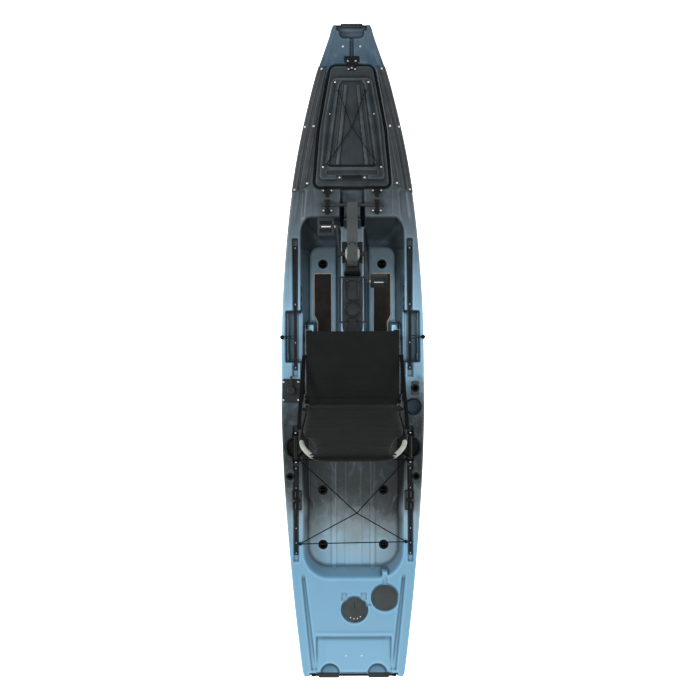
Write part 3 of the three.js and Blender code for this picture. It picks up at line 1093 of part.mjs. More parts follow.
// Rudder under the stern: a turning head and a blade that kicks down
const forkRod = (reach, radius, sides) => sideRod(-reach, reach, rudder.pivotY, rudder.bladeZ, radius, sides);
const bladeSlot = rudder.bladeThick / 2 + rudder.forkGap;
const bladeTop = rudder.bladeZ + rudder.bladeHeight / 2;
const bladeLow = rudder.bladeZ - rudder.bladeHeight / 2;
place('rudder_head', cut(joined(
  rod([0, rudder.pivotY, rudder.bladeZ], [0, rudder.pivotY, rudder.recessTop - clearance], rudder.headRadius,
    roundSides),
  forkRod(rudder.forkHalf, rudder.forkRadius)),
block(-bladeSlot, bladeSlot, rudder.pivotY - rudder.recessHead, rudder.pivotY + rudder.recessHead, 0,
  bladeTop + rudder.forkRoom)).add(forkRod(rudder.forkHalf, rudder.pinRadius, tubeSides)),
    colours.plasticBlack, 0.6);
const noseZ = rudder.bladeHeight / 4;
const tipShare = 0.64;
const bladeOutline = grownOutline([[rudder.pivotY + rudder.bladeNose, rudder.bladeZ - noseZ,
  rudder.noseCorner],
  [rudder.pivotY + rudder.bladeNose, rudder.bladeZ + noseZ, rudder.noseCorner],
  [rudder.pivotY - rudder.bladeKnee, bladeTop, rudder.kneeCorner],
  [rudder.pivotY - rudder.bladeReach, rudder.bladeZ + rudder.bladeHeight / 2 * tipShare, rudder.tipCorner],
  [rudder.pivotY - rudder.bladeReach, bladeLow, rudder.tipCorner],
  [rudder.pivotY - rudder.bladeKnee, bladeLow, rudder.kneeCorner]], 0);
place('rudder_blade', sideProfile(bladeOutline, -rudder.bladeThick / 2, rudder.bladeThick / 2).subtract(
  forkRod(rudder.bladeThick, rudder.pinRadius + clearance)), colours.plasticBlack, 0.5);

// Rod holders and cup liner
const holder = { flangeX: 24, flangeY: 44, flange: 4, corner: 10, wall: 3, bottom: 4 };
['rod_holder_rear_left', 'rod_holder_rear_right', 'rod_holder_front'].forEach((name, i) => {
  const [x, y] = rodPlaces[i];
  const top = sheerAt(y);
  const sleeveRadius = rodHole.radius - clearance;
  const plate = onDeck(slab(rectangle(x - holder.flangeX, y - holder.flangeY, x + holder.flangeX,
    y + holder.flangeY,
    holder.corner), top - holder.flange, top + holder.flange));
  const sleeve = slab(circle(x, y, sleeveRadius, smallSides), top - rodHole.depth + clearance,
    top + holder.flange);
  place(name, joined(plate, sleeve).subtract(slab(circle(x, y, sleeveRadius - holder.wall, smallSides),
    top - rodHole.depth + holder.bottom, top + overrun)), colours.plasticBlack, 0.55);
});
const cupTop = sheerAt(cup.y);
const linerRadius = cup.radius - clearance;
const linerLow = cupTop - cup.depth + clearance;
place('cup_liner', joined(onDeck(slab(circle(cupX, cup.y, cup.radius + cup.lip), cupTop - cup.seat,
  cupTop + cup.liner)),
  slab(circle(cupX, cup.y, linerRadius), linerLow, cupTop + cup.liner)).subtract(
  slab(circle(cupX, cup.y, linerRadius - cup.liner), linerLow + cup.liner, cupTop + overrun)),
colours.plasticBlack, 0.55);

// Round twist lids in the stern deck
['round_lid_centre', 'round_lid_side'].forEach((name, i) => {
  const { x, y, radius } = lidPlaces[i];
  const base = lidSeatZ(y) + clearance;
  const neckRadius = radius - roundLid.neckIn - roundLid.neckGap;
  const lid = joined(slab(circle(x, y, radius, wideSides), base, base + roundLid.thick),
    slab(circle(x, y, neckRadius), base - roundLid.neck, base + overlap));
  place(name, lid.subtract(slab(circle(x, y, neckRadius - roundLid.flange), base - roundLid.neck - overlap,
    base + roundLid.thick - roundLid.flange)), colours.plasticBlack, 0.5);
});

// Carry handles at the ends and sides
const bowGripY = reachY - endHandle.gripRadius;
const bowHandleZ = sheerAt(endY) - endHandle.drop;
const bowHandleEnd = bowNotch.half - clearance;
place('bow_handle', joined(sideRod(-endHandle.gripHalf, endHandle.gripHalf, bowGripY, bowHandleZ,
  endHandle.gripRadius), sideRod(-bowHandleEnd, bowHandleEnd, bowGripY, bowHandleZ, endHandle.cordRadius,
    tubeSides)),
colours.rubberBlack, 0.8);
const sternGrips = mirrored((sign) => sideRod(sign * (sternRecess.x - endHandle.barGripHalf),
  sign * (sternRecess.x + endHandle.barGripHalf), sternBarY, sternBarZ, endHandle.barGrip, smallSides));
const sternLugs = mirrored((sign) => spanBlock(sign * endHandle.barHalf,
  sign * (endHandle.barHalf - endHandle.lug),
  sternBarY, sternNotchY - clearance, sternBarZ - endHandle.barRadius, sternBarZ + endHandle.barRadius));
place('stern_handle', joined(sideRod(-endHandle.barHalf, endHandle.barHalf, sternBarY, sternBarZ,
  endHandle.barRadius,
  smallSides), ...sternGrips, ...sternLugs), colours.rubberBlack, 0.7);
const sideHandle = {
  front: 70, rear: -71, radius: 11, rise: 16, footFront: 100, footRear: -102, footHalf: 10, foot: 4,
  strapTop: 5,
  strapLow: 3,
};
const handleShares = { grip: 0.3, foot: 0.45 };
sides.forEach(([side, sign]) => {
  const x = sign * trackX;
  const base = slotFloor(rearSlot) + clearance;
  const gripZ = hull.sheerMid + sideHandle.rise;
  const strapEnd = (foot, grip) => sideProfile([[foot, base], [foot, base + sideHandle.foot],
    [grip, gripZ + sideHandle.strapTop], [grip + (grip - foot) * handleShares.grip,
      gripZ - sideHandle.strapLow],
    [foot + (grip - foot) * handleShares.foot, base]].map(([y, z]) => [handRecess.y + y, z]),
  x - sideHandle.footHalf, x + sideHandle.footHalf);
  place(`side_handle_${side}`, joined(rod([x, handRecess.y + sideHandle.rear, gripZ],
    [x, handRecess.y + sideHandle.front, gripZ], sideHandle.radius),
  strapEnd(sideHandle.footFront, sideHandle.front), strapEnd(sideHandle.footRear, sideHandle.rear)),
  colours.rubberBlack, 0.8);
});

// Paddle keepers: a ball on a doubled cord from each front track
const keeper = { y: 94, ballRadius: 14, overhang: 4, rise: 8, spread: 9, meet: 3, ballIn: 6, cordRadius: 2.5,
  trackGap: 1.2 };
sides.forEach(([side, sign]) => {
  const ballX = halfBeamAt(keeper.y) - keeper.overhang;
  const ballZ = sheerAt(keeper.y) + keeper.rise;
  const startX = trackX + track.half + keeper.trackGap;
  const startZ = slotFloor(frontSlot) + clearance + track.height / 2;
  const cords = mirrored((end) => rod([sign * startX, keeper.y + end * keeper.spread, startZ],
    [sign * (ballX - keeper.ballIn), keeper.y + end * keeper.meet, ballZ], keeper.cordRadius, cordSides));
  place(`paddle_keeper_${side}`, joined(ball(sign * ballX, keeper.y, ballZ, keeper.ballRadius), ...cords),
    colours.rubberBlack, 0.7);
});

// Crossed cord over the tankwell, held at four corners
const wellCord = { front: [334, -690], rear: [338, -1203], middleY: -946, rearY: -1195, frontY: -696,
  end: [314, -682] };
const overDeck = ([x, y], extra = 0) => [x, y, sheerAt(y) + clearance + cord.radius + extra];
place('tankwell_bungee', tube([
  overDeck(wellCord.front), overDeck([0, wellCord.middleY]), overDeck(mirror(wellCord.rear)),
  overDeck([0, wellCord.rearY]), overDeck(wellCord.rear), overDeck([0, wellCord.middleY], cord.crossing),
  overDeck(mirror(wellCord.front)), overDeck([0, wellCord.frontY]), overDeck(wellCord.end, cord.crossing),
], cord.radius, { steps: cord.wellSteps, sides: cordSides }), colours.rubberBlack);

export default group;
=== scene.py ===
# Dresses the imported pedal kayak: fine hull surfaces, trims, cushions, materials, light and camera.
# Sizes are in millimetres, as in the CAD; meshes are made in metres.
import json
import math
from functools import partial

import bmesh
import bpy
import numpy as np
from mathutils.bvhtree import BVHTree
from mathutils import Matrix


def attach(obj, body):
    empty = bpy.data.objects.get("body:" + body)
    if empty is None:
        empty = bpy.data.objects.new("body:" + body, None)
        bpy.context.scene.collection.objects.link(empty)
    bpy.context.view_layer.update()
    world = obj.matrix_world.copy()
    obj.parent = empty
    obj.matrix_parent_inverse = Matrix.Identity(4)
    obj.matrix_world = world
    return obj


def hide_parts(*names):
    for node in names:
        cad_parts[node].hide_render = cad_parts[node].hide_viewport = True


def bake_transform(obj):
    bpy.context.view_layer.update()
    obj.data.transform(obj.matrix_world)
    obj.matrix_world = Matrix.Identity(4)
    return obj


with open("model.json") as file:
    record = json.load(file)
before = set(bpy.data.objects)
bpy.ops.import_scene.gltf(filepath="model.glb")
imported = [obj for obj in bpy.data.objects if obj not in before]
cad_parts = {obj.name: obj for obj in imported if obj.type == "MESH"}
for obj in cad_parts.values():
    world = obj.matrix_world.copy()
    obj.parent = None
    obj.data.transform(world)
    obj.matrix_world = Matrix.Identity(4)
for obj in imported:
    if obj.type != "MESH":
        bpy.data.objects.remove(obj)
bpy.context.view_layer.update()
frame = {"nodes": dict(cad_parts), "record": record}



def addObject(name, data):
    # A new object that holds the data, linked into the scene
    made = bpy.data.objects.new(name, data)
    bpy.context.scene.collection.objects.link(made)
    return made


# Camera: straight above the middle, about nine metres up, as in the photograph
cameraLook = {"height": 9.33, "plane": 0.33, "width": 4.403, "sensor": 36.0, "x": -0.017, "y": 0.0126,
              "turn": -0.2}
cameraData = bpy.data.cameras.new("camera")
cameraData.sensor_width = cameraLook["sensor"]
cameraData.lens = cameraLook["sensor"] * (cameraLook["height"] - cameraLook["plane"]) / cameraLook["width"]
camera = addObject("camera", cameraData)
camera.location = (cameraLook["x"], cameraLook["y"], cameraLook["height"])
camera.rotation_euler = (0, 0, math.radians(cameraLook["turn"]))
bpy.context.scene.camera = camera

mm = 0.001
bpy.context.scene.view_settings.view_transform = "Standard"


# Materials: one helper adds a node with its settings and links
def linear(hexText):
    # sRGB hex to linear light, with full alpha
    values = [int(hexText[i:i + 2], 16) / 255 for i in (0, 2, 4)]
    return [v / 12.92 if v <= 0.04045 else ((v + 0.055) / 1.055) ** 2.4 for v in values] + [1.0]


def fill(tree, node, values):
    # Values go to the inputs by name, or in order from a list; a socket or a node's first output is linked
    for key, value in values.items() if isinstance(values, dict) else enumerate(values):
        value = value.outputs[0] if isinstance(value, bpy.types.Node) else value
        if isinstance(value, bpy.types.NodeSocket):
            tree.links.new(value, node.inputs[key])
        else:
            node.inputs[key].default_value = value


def addNode(tree, kind, values=(), **settings):
    # Adds a shader node with its settings and what its inputs take
    node = tree.nodes.new("ShaderNode" + kind)
    for name, value in settings.items():
        setattr(node, name, value)
    fill(tree, node, values)
    return node


def newMaterial(name):
    # A node material, what adds a node to it, and its tree and principled shader
    made = bpy.data.materials.new(name)
    made.use_nodes = True
    tree = made.node_tree
    return made, partial(addNode, tree), tree, tree.nodes["Principled BSDF"]


def rampNode(tree, factor, stops, interpolation="EASE"):
    # A colour ramp through (position, hex) stops, or through (position, level) stops of plain grey
    node = addNode(tree, "ValToRGB", [factor])
    node.color_ramp.interpolation = interpolation
    elements = node.color_ramp.elements
    while len(elements) < len(stops):
        elements.new(0.5)
    for element, (position, colour) in zip(elements, stops):
        element.position = position
        element.color = linear(colour) if isinstance(colour, str) else (colour, colour, colour, 1)
    return node


def paintedReliefShade(tree, colour, reach, low, high):
    # Painted shade in grooves and painted highlight on ridges: the mesh's relief in mm scales the colour from low to
    # high
    relief = addNode(tree, "Attribute", attribute_name="relief").outputs["Fac"]
    sides = [addNode(tree, "MapRange", [relief, *ends])
             for ends in ((-reach, 0.0, low, 1.0), (0.0, reach, 1.0, high))]
    both = addNode(tree, "Math", sides, operation="MULTIPLY")
    return addNode(tree, "VectorMath", {0: colour, "Scale": both}, operation="SCALE")


def plainFinish(name, light, dark, roughness, metallic=0.0, scale=220.0, bump=0.08, spread=0.12, gloss=0.5,
                relief=None):
    # The tone and the sheen drift a little over the surface, and a fine grain stands in the relief:
    # scale is the grain's count a metre, bump its strength, spread how far the roughness wanders
    made, add, tree, shader = newMaterial(name)
    place = add("TexCoord").outputs["Object"]
    drift = add("TexNoise", {"Vector": place, "Scale": 9.0, "Detail": 5.0, "Roughness": 0.6})
    grain = add("TexNoise", {"Vector": place, "Scale": scale, "Detail": 2.0})
    tone = rampNode(tree, drift, [(0.3, dark), (0.72, light)])
    sheen = add("MapRange", [drift, 0.3, 0.7, roughness - spread / 2, roughness + spread / 2])
    # relief, when given, is (reach, low, high) for the painted shade in grooves and painted highlight on ridges
    fill(tree, shader, {
        "Base Color": paintedReliefShade(tree, tone, *relief) if relief else tone, "Roughness": sheen,
        "Normal": add("Bump", {"Height": grain, "Strength": bump, "Distance": 0.001}),
        "Metallic": metallic, "Specular IOR Level": gloss})
    return made


def marbledHull():
    # Rotomoulded polyethylene: two pigments that bled into each other along the boat, under a satin orange peel
    made, add, tree, shader = newMaterial("hull polyethylene, marbled blue and charcoal, satin")
    place = add("TexCoord").outputs["Object"]
    across, along, _ = add("SeparateXYZ", [place]).outputs
    reach = add("Math", [across], operation="ABSOLUTE")
    depth = add("Attribute", attribute_name="depth").outputs["Fac"]
    upward = add("SeparateXYZ", [add("NewGeometry").outputs["Normal"]]).outputs["Z"]
    stretched = add("Mapping", {"Vector": place, "Scale": (1.0, 0.6, 1.0)})
    cloud = add("TexNoise", {"Vector": stretched, "Scale": 3.4, "Detail": 7.0, "Roughness": 0.64, "Distortion": 0.5})
    swirl = add("TexNoise", {"Vector": stretched, "Scale": 17.0, "Detail": 7.0, "Roughness": 0.72,
                             "Distortion": 0.8})
    # Two noises move a place along the boat before its pigment is read
    moved = along
    for noise, far in ((cloud, 0.3), (swirl, 0.24)):
        moved = add("Math", [add("Math", [noise, -0.5], operation="ADD"), far, moved], operation="MULTIPLY_ADD")
    # Low down in the tankwell the ramp is read further forward, so those deep places take darker tones
    inside = add("MapRange", [depth, 12.0, 90.0])
    aft = add("MapRange", [along, -0.3, -0.5, 0.0, 0.16])
    moved = add("Math", [inside, aft, moved], operation="MULTIPLY_ADD")
    tones = rampNode(tree, add("MapRange", [moved, -2.05, 2.05]), [
        (0.0, "80b1ce"), (0.19, "76a7c5"), (0.235, "86a3b3"), (0.268, "75848a"), (0.288, "5c676b"), (0.305, "3a4144"),
        (0.325, "2a3031"), (0.385, "262e32"), (0.412, "3b484f"), (0.437, "5d798b"), (0.457, "86afc7"),
        (0.56, "84acc4"), (0.6, "7798ad"), (0.65, "5f747f"), (0.7, "4f5c65"), (0.745, "39444a"), (0.79, "20272b"),
        (0.91, "1d262c"), (0.935, "2b475a"), (0.97, "43596a"), (1.0, "475a66")])
    veil = add("MapRange", [swirl, 0.5, 0.74, 0.0, 0.1])
    mixed = add("Mix", {0: veil, 6: tones, 7: linear("a9c4d4")}, data_type="RGBA").outputs[2]
    # Painted light and shade: the floors of the wells are drawn lighter and their walls darker, by depth and
    # steepness
    edge = add("MapRange", [depth, 3.0, 26.0])
    lean = add("MapRange", [upward, 0.93, 0.5])
    flat = add("Math", [1.0, lean], operation="SUBTRACT")
    paintedFloorLight = add("MapRange", [along, -1.0, 0.0, 0.3, 0.9])
    paintedWallShade = add("MapRange", [along, -1.25, -0.6, -0.3, -0.7])
    # Outboard of the cockpit the floors of the slots and pockets take painted shade instead
    outboard = add("MapRange", [reach, 0.336, 0.342])
    paintedFloorLight = add("Mix", {0: outboard, 2: paintedFloorLight, 3: -0.8})
    lit = 1.0
    for shares, gain in (((inside, flat), paintedFloorLight), ((edge, lean), paintedWallShade)):
        lit = add("Math", [add("Math", shares, operation="MULTIPLY"), gain, lit], operation="MULTIPLY_ADD")
    wellShadedTone = add("VectorMath", {0: mixed, "Scale": lit}, operation="SCALE")
    peel = add("TexNoise", {"Vector": place, "Scale": 240.0, "Detail": 2.0})
    # Base colour: the wells' painted light and shade, then painted shade in grooves and painted highlight on ridges
    fill(tree, shader, {
        "Base Color": paintedReliefShade(tree, wellShadedTone, 2.8, 0.45, 1.2),
        "Roughness": add("MapRange", [swirl, 0.0, 1.0, 0.34, 0.48]),
        "Normal": add("Bump", {"Height": peel, "Strength": 0.12, "Distance": 0.001}),
        "IOR": 1.51, "Specular IOR Level": 0.42})
    return made


def wovenFabric():
    # Coated polyester mesh: a basket weave of 2 mm cells, drawn coarse so that it shows, near black and dull
    made, add, tree, shader = newMaterial("seat fabric, coated polyester mesh, woven")
    place = add("TexCoord").outputs["Object"]
    threads = [add("TexWave", {"Vector": place, "Scale": scale}, bands_direction=way).outputs["Fac"]
               for scale, way in ((160.0, "X"), (120.0, "DIAGONAL"))]
    drift = add("TexNoise", {"Vector": place, "Scale": 7.0, "Detail": 4.0})
    folds = add("Mapping", {"Vector": place, "Scale": (2.0, 26.0, 20.0)})
    crease = add("TexNoise", {"Vector": folds, "Scale": 1.0, "Detail": 2.0})
    sag = add("Bump", {"Height": crease, "Strength": 0.5, "Distance": 0.006})
    fill(tree, shader, {
        "Base Color": rampNode(tree, drift, [(0.3, "0a0d0d"), (0.75, "111414")]),
        "Normal": add("Bump", {"Height": add("Math", threads, operation="MAXIMUM"), "Strength": 0.25,
                               "Distance": 0.0008, "Normal": sag}),
        "Roughness": 0.75, "Specular IOR Level": 0.2, "Sheen Weight": 0.03})
    return made


finishes = {
    "hull": marbledHull(),
    # Thick moulded covers: dark grey, rough enough to blur every light, with painted shade in their grooves and
    # painted highlight on their ribs
    "panel": plainFinish("side panel plastic, moulded, matt", "343a3c", "262b2d", 0.5, scale=180.0, bump=0.15,
                         gloss=0.35, relief=(1.2, 0.22, 1.9)),
    "lid": plainFinish("hatch lid plastic, moulded, matt", "2e373c", "1f272c", 0.48, scale=150.0, bump=0.2,
                       gloss=0.35, relief=(1.3, 0.15, 2.2)),
    # Glass-filled nylon: almost black with a soft highlight
    "black": plainFinish("glass-filled nylon, black, satin", "101214", "08090b", 0.36, scale=400.0, gloss=0.24),
    # Acetal with a polished mould: black with a clear gloss
    "glossy": plainFinish("acetal, black, polished", "101214", "08090b", 0.22, scale=200.0, bump=0.03, gloss=0.5),
    # Coarse moulded grain, about three pebbles a centimetre
    "pod": plainFinish("console plastic, black, pebbled", "2b3338", "1a2025", 0.45, scale=170.0, bump=0.6, gloss=0.4),
    "disc": plainFinish("twist lid plastic, charcoal, fine grained", "444b4c", "383e3f", 0.5, scale=300.0, bump=0.2,
                        gloss=0.3),
    # Rubber drinks in the light and shows no clear reflection
    "rubber": plainFinish("rubber, black, dull", "0f1011", "080909", 0.6, scale=300.0, gloss=0.2),
    "cord": plainFinish("shock cord, black, woven sleeve", "0d0e0f", "060607", 0.7, scale=900.0, bump=0.4,
                        gloss=0.15),
    "webbing": plainFinish("polyester webbing, black, woven", "090a0b", "040505", 0.85, scale=700.0, bump=0.5,
                           gloss=0.1),
    "mast": plainFinish("powder coat, warm grey, satin", "474d4c", "3a4040", 0.42, scale=500.0, bump=0.1, gloss=0.4),
    "arm": plainFinish("powder coat, charcoal, satin", "2f3436", "202426", 0.4, scale=500.0, bump=0.1, gloss=0.4),
    # Metals keep the default index; the brushing breaks their reflections up
    "track": plainFinish("anodised aluminium, black, brushed", "2e3236", "1f2326", 0.34, metallic=0.4, scale=600.0,
                         gloss=0.3),
    "tube": plainFinish("anodised aluminium tube, silver grey, satin", "6e7472", "5b605f", 0.4, metallic=0.8),
    "silver": plainFinish("cast cover, bright silver, satin", "d9dad6", "bfc1bd", 0.36, metallic=0.55),
    "steel": plainFinish("stainless steel, polished", "f2f2f0", "d9dad8", 0.3, metallic=0.6, spread=0.08),
    # Closed-cell foam: black skin brushed to a dull nap over a beige core that shows at the cut edge
    "foam": plainFinish("closed-cell deck foam, black, brushed", "474340", "373432", 0.9, scale=700.0, bump=0.5,
                        gloss=0.2),
    "foamEdge": plainFinish("closed-cell deck foam, beige core, cut edge", "f4eee0", "e0d8c8", 0.85, scale=500.0),
    "grip": plainFinish("grip sleeve, pale grey green, knurled", "a3a99c", "80867b", 0.6, scale=260.0, bump=0.6),
    "inlay": plainFinish("moulded inlay, off white, satin", "f1f3f3", "dfe2e2", 0.45),
    "cup": plainFinish("hull polyethylene, charcoal blue, satin", "628096", "3f5465", 0.42, gloss=0.4),
    "fabric": wovenFabric(),
}
print("materials made")


# Meshes: every form comes from points that numpy works out together
def smoothFaces(mesh):
    # Shades every face of a mesh smooth
    mesh.polygons.foreach_set("use_smooth", np.full(len(mesh.polygons), True))


def mergedCopy(mesh):
    # An editable copy of a mesh in which points that coincide are one
    work = bmesh.new()
    work.from_mesh(mesh)
    bmesh.ops.remove_doubles(work, verts=work.verts, dist=0.02 * mm)
    return work


def newObject(name, points, faces, finish, body=None, marks=None):
    # Points are an (n, 3) array in millimetres, marks name values for each point, and it rides on a CAD body
    mesh = bpy.data.meshes.new(name)
    mesh.from_pydata((np.asarray(points, float) * mm).tolist(), [], faces)
    mesh.update()
    smoothFaces(mesh)
    for mark, values in (marks or {}).items():
        mesh.attributes.new(mark, "FLOAT", "POINT").data.foreach_set("value", np.asarray(values, float).ravel())
    mesh.materials.append(finishes[finish])
    made = addObject(name, mesh)
    if body:
        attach(made, body)
    return made


def gridFaces(rows, columns, closedRows=False):
    # Quads over a grid of points counted row by row; its last column joins its first, and its last row may too
    i, j = np.meshgrid(np.arange(rows if closedRows else rows - 1), np.arange(columns), indexing="ij")
    nextI, nextJ = (i + 1) % rows, (j + 1) % columns
    return np.stack([i * columns + j, i * columns + nextJ, nextI * columns + nextJ, nextI * columns + j],
                    -1).reshape(-1, 4)


def closeMesh(made, angle=None):
    # Doubles are merged and the faces turned outward; edges sharper than angle degrees stay crisp
    work = mergedCopy(made.data)
    bmesh.ops.recalc_face_normals(work, faces=work.faces)
    if angle:
        for edge in work.edges:
            edge.smooth = len(edge.link_faces) == 2 and edge.calc_face_angle(0) < math.radians(angle)
    work.to_mesh(made.data)
    work.free()


def ease(value):
    # Smooth step of a value held between zero and one
    held = np.clip(value, 0, 1)
    return held * held * (3 - 2 * held)


def tableAt(rows, share):
    # Smooth curve through (share, value) rows, each row's slope taken from its neighbours
    xs, ys = np.array(rows, float).T
    slopes = np.gradient(ys, xs)
    slopes[1:-1] = (ys[2:] - ys[:-2]) / (xs[2:] - xs[:-2])
    low = np.clip(np.searchsorted(xs, share, side="right") - 1, 0, len(xs) - 2)
    span = xs[low + 1] - xs[low]
    t = np.clip((share - xs[low]) / span, 0, 1)
    return ((2 * t ** 3 - 3 * t ** 2 + 1) * ys[low] + (t ** 3 - 2 * t ** 2 + t) * span * slopes[low]
            + (3 * t ** 2 - 2 * t ** 3) * ys[low + 1] + (t ** 3 - t ** 2) * span * slopes[low + 1])


# Hull form: the same sizes as the CAD's
form = {"length": 4086, "beam": 902, "flat": 62, "channel": 26, "slope": 26, "mid": 330, "stern": 322, "bow": 392,
        "crownBow": 34, "crownStern": 12, "rockerStern": 46, "rockerBow": 168, "edge": 15, "drop": 46}
planShares = [
    (0, 0.695), (0.006, 0.715), (0.057, 0.772), (0.118, 0.833), (0.179, 0.883), (0.24, 0.928), (0.3, 0.963),
    (0.36, 0.987), (0.42, 1), (0.515, 0.994), (0.576, 0.978), (0.638, 0.942), (0.7, 0.89), (0.76, 0.82),
    (0.82, 0.724), (0.88, 0.6), (0.927, 0.487), (0.958, 0.39), (0.982, 0.315), (0.995, 0.282), (1, 0.262)]


def halfBeam(y):
    # Half the hull's width: a curve through shares of half the beam
    return tableAt(planShares, y / form["length"] + 0.5) * form["beam"] / 2


def sheerAt(y):
    # Height of the gunwale: a smooth step from the middle's height up or down to each end's
    share = y / form["length"] + 0.5
    end = np.where(share < 0.5, form["stern"], form["bow"])
    return form["mid"] + (end - form["mid"]) * ease(np.abs(share - 0.5) / 0.5)


def crownAt(y):
    # How far the deck's middle stands over the sheer: a hump toward the bow and a step at the stern
    share = y / form["length"] + 0.5
    bow = form["crownBow"] * ease((share - 0.66) / 0.12) * (1 - 0.7 * ease((share - 0.9) / 0.1))
    return bow + form["crownStern"] * ease((0.18 - share) / 0.08)


def keelAt(y):
    # Height of the keel: it rises by a square toward the stern and by a cube toward the bow
    share = y / form["length"] + 0.5
    stern = np.maximum(0, (0.22 - share) / 0.22)
    bow = np.maximum(0, (share - 0.66) / 0.34)
    return form["rockerStern"] * stern ** 2 + form["rockerBow"] * bow ** 3


def bottomPoints(y):
    # The section's corners from the keel to the bilge and up the side, as columns for each station
    half, keel, sheer = halfBeam(y), keelAt(y), sheerAt(y)
    height = sheer - keel
    flat = 1 - ease((y / form["length"] + 0.5 - 0.62) / 0.22)
    vee = (1 - flat) * height * 0.3
    channel = form["channel"] * flat
    keelHalf = form["flat"] * (0.35 + 0.65 * flat)
    rest = height - vee
    xs = [0 * y, keelHalf, keelHalf + form["slope"], 0.44 * half - form["slope"] * flat, 0.44 * half, 0.74 * half,
          0.885 * half, 0.948 * half, 0.98 * half, half, half]
    zs = [keel, keel, keel + channel + 0.35 * vee, keel + channel + 0.6 * vee, keel + 0.62 * vee, keel + vee,
          keel + vee + 0.12 * rest, keel + vee + 0.36 * rest, keel + vee + 0.66 * rest, sheer - form["drop"],
          sheer - form["edge"]]
    return np.stack(xs), np.stack(zs)


def deckBase(x, y):
    # The deck with nothing cut in it: the sheer with its crown, straight between the CAD's corners
    reach = np.abs(x) / halfBeam(y)
    return sheerAt(y) + crownAt(y) * np.interp(reach, [0, 0.4, 0.8, 1], [1, 0.9, 0.5, 0])


def cornerDistance(side, end, radius):
    # Distance from a rounded outline, from how far a place is past its side and past its end; negative inside
    qx, qy = side + radius, end + radius
    return np.hypot(np.maximum(qx, 0), np.maximum(qy, 0)) + np.minimum(np.maximum(qx, qy), 0) - radius


def boxDistance(x, y, middleX, middleY, halfX, halfY, radius=0):
    # The same for a rectangle about a middle
    return cornerDistance(np.abs(x - middleX) - halfX, np.abs(y - middleY) - halfY, radius)


def discDistance(x, y, middleX, middleY, radius):
    # The same for a disc: the way to its middle, less its radius
    return np.hypot(x - middleX, y - middleY) - radius


def sunk(z, distance, target, soft=8.0):
    # Takes the surface to a target height inside a shape, easing over a soft edge
    inside = ease(0.5 - distance / soft)
    return z + (target - z) * inside


hatch = {"ends": (1033, 1783), "widest": 1384, "halves": (236, 205, 132), "corner": 34}


def hatchHalf(y):
    # Half the lid's width along the boat, from its rear edge past its widest run to the narrow front
    return np.interp(y, [hatch["ends"][0], hatch["widest"], hatch["ends"][1]], hatch["halves"])


def hatchDistance(x, y):
    # Distance from the lid's outline, with its four corners rounded
    (low, high), radius = hatch["ends"], hatch["corner"]
    return cornerDistance(np.abs(x) - hatchHalf(np.clip(y, low, high)), np.maximum(low - y, y - high), radius)


well = {"floor": 95, "front": 852, "half": 329, "floorBox": (0, 188, 276, 488, 60), "humpTopHalf": 74,
        "humpBaseHalf": 106, "hump": ((676, 852, 1025), (226, 262, 352)), "ledge": 236, "ledgeIn": 240,
        "ledgeFront": 182}
tank = {"floor": 192, "floorHalf": 283, "ribHigh": 6, "panelHigh": 4, "bulge": 46}


def cockpitHeight(x, y, z):
    # Footwells either side of a hump: walls fall from the rim to the floor, ledges carry the seat
    cornerHalf = well["half"] - 74 * (1 - np.sqrt(np.clip(1 - (np.clip(y - 745, 0, None) / 107) ** 2, 0, 1)))
    rim = np.maximum.reduce([np.abs(x) - cornerHalf, y - well["front"], -330 - y])
    rim = np.where(y < 700, boxDistance(x, y, 0, 261, well["half"], 591, 60), rim)
    floor = boxDistance(x, y, *well["floorBox"])
    share = np.clip(-rim, 0, None) / np.clip(-rim + np.clip(floor, 0, None), 1, None)
    fall = np.interp(share, [0, 0.06, 0.6, 0.74, 1], [0, 0.09, 0.66, 0.8, 1])
    sides = np.where(y > 650, fall, share)
    wall = z + (well["floor"] - z) * np.clip(sides, 0, 1)
    hump = np.interp(y, *well["hump"])
    humpFoot = np.interp(np.abs(x), [well["humpTopHalf"] - 4, well["humpTopHalf"], well["humpBaseHalf"] - 3,
                                     well["humpBaseHalf"] + 4], [1, 0.97, 0.02, 0])
    wall = np.maximum(wall, np.where(rim < 0, well["floor"] + (hump - well["floor"]) * humpFoot, -1e3))
    ledge = ease((np.abs(x) - well["ledgeIn"]) / 14 + 0.5) * ease((well["ledgeFront"] - y) / 18 + 0.5)
    wall = np.maximum(wall, well["floor"] + (well["ledge"] - well["floor"]) * ledge)
    return np.where(rim < 0, wall, z)


def tankwellHeight(x, y, z):
    # The open well aft: ribs along its floor, rounded rear corners, and two swellings in its walls
    half = np.interp(y, [-1428, -398], [314, 325])
    rimCorner = np.where(y < -913, 165, 60)
    rim = boxDistance(x * 320 / half, y, 0, -913, 320, 515, rimCorner)
    floorCorner = np.where(y < -889, 125, 60)
    floor = boxDistance(x, y, 0, -889.5, tank["floorHalf"], 469.5, floorCorner)
    share = np.clip(-rim, 0, None) / np.clip(-rim + np.clip(floor, 0, None), 1, None)
    bed = tank["floor"] + 0 * x
    reach = np.abs(x)
    rib = ease((13 - np.abs(reach - 124)) / 6 + 0.5) * ease((y + 1375) / 10)
    panel = ease((49 - reach) / 7 + 0.5) * ease((y + 1375) / 10)
    bed = bed + (tank["ribHigh"] * rib + tank["panelHigh"] * panel)
    wall = z + (bed - z) * np.clip(share, 0, 1)
    bulge = ease(1.15 - np.hypot((reach - 300) / 48, (y + 985) / 78))
    wall = wall + bulge * tank["bulge"] * ease((tank["floorHalf"] + 40 - reach) / 30)
    return np.where(rim < 0, np.minimum(wall, z), z)


trackX = 360
lidSeats = {"centre": (6, -1621, 76), "side": (198, -1545, 79)}
rodHoles = ((392, -228), (396, -782), (-396, -782))
scuppers = ((190, 567, well["floor"]), (193, -880, tank["floor"]), (193, -1229, tank["floor"]))
handRecess = {"x": 372, "y": -600}
cupAt = (381, -344)


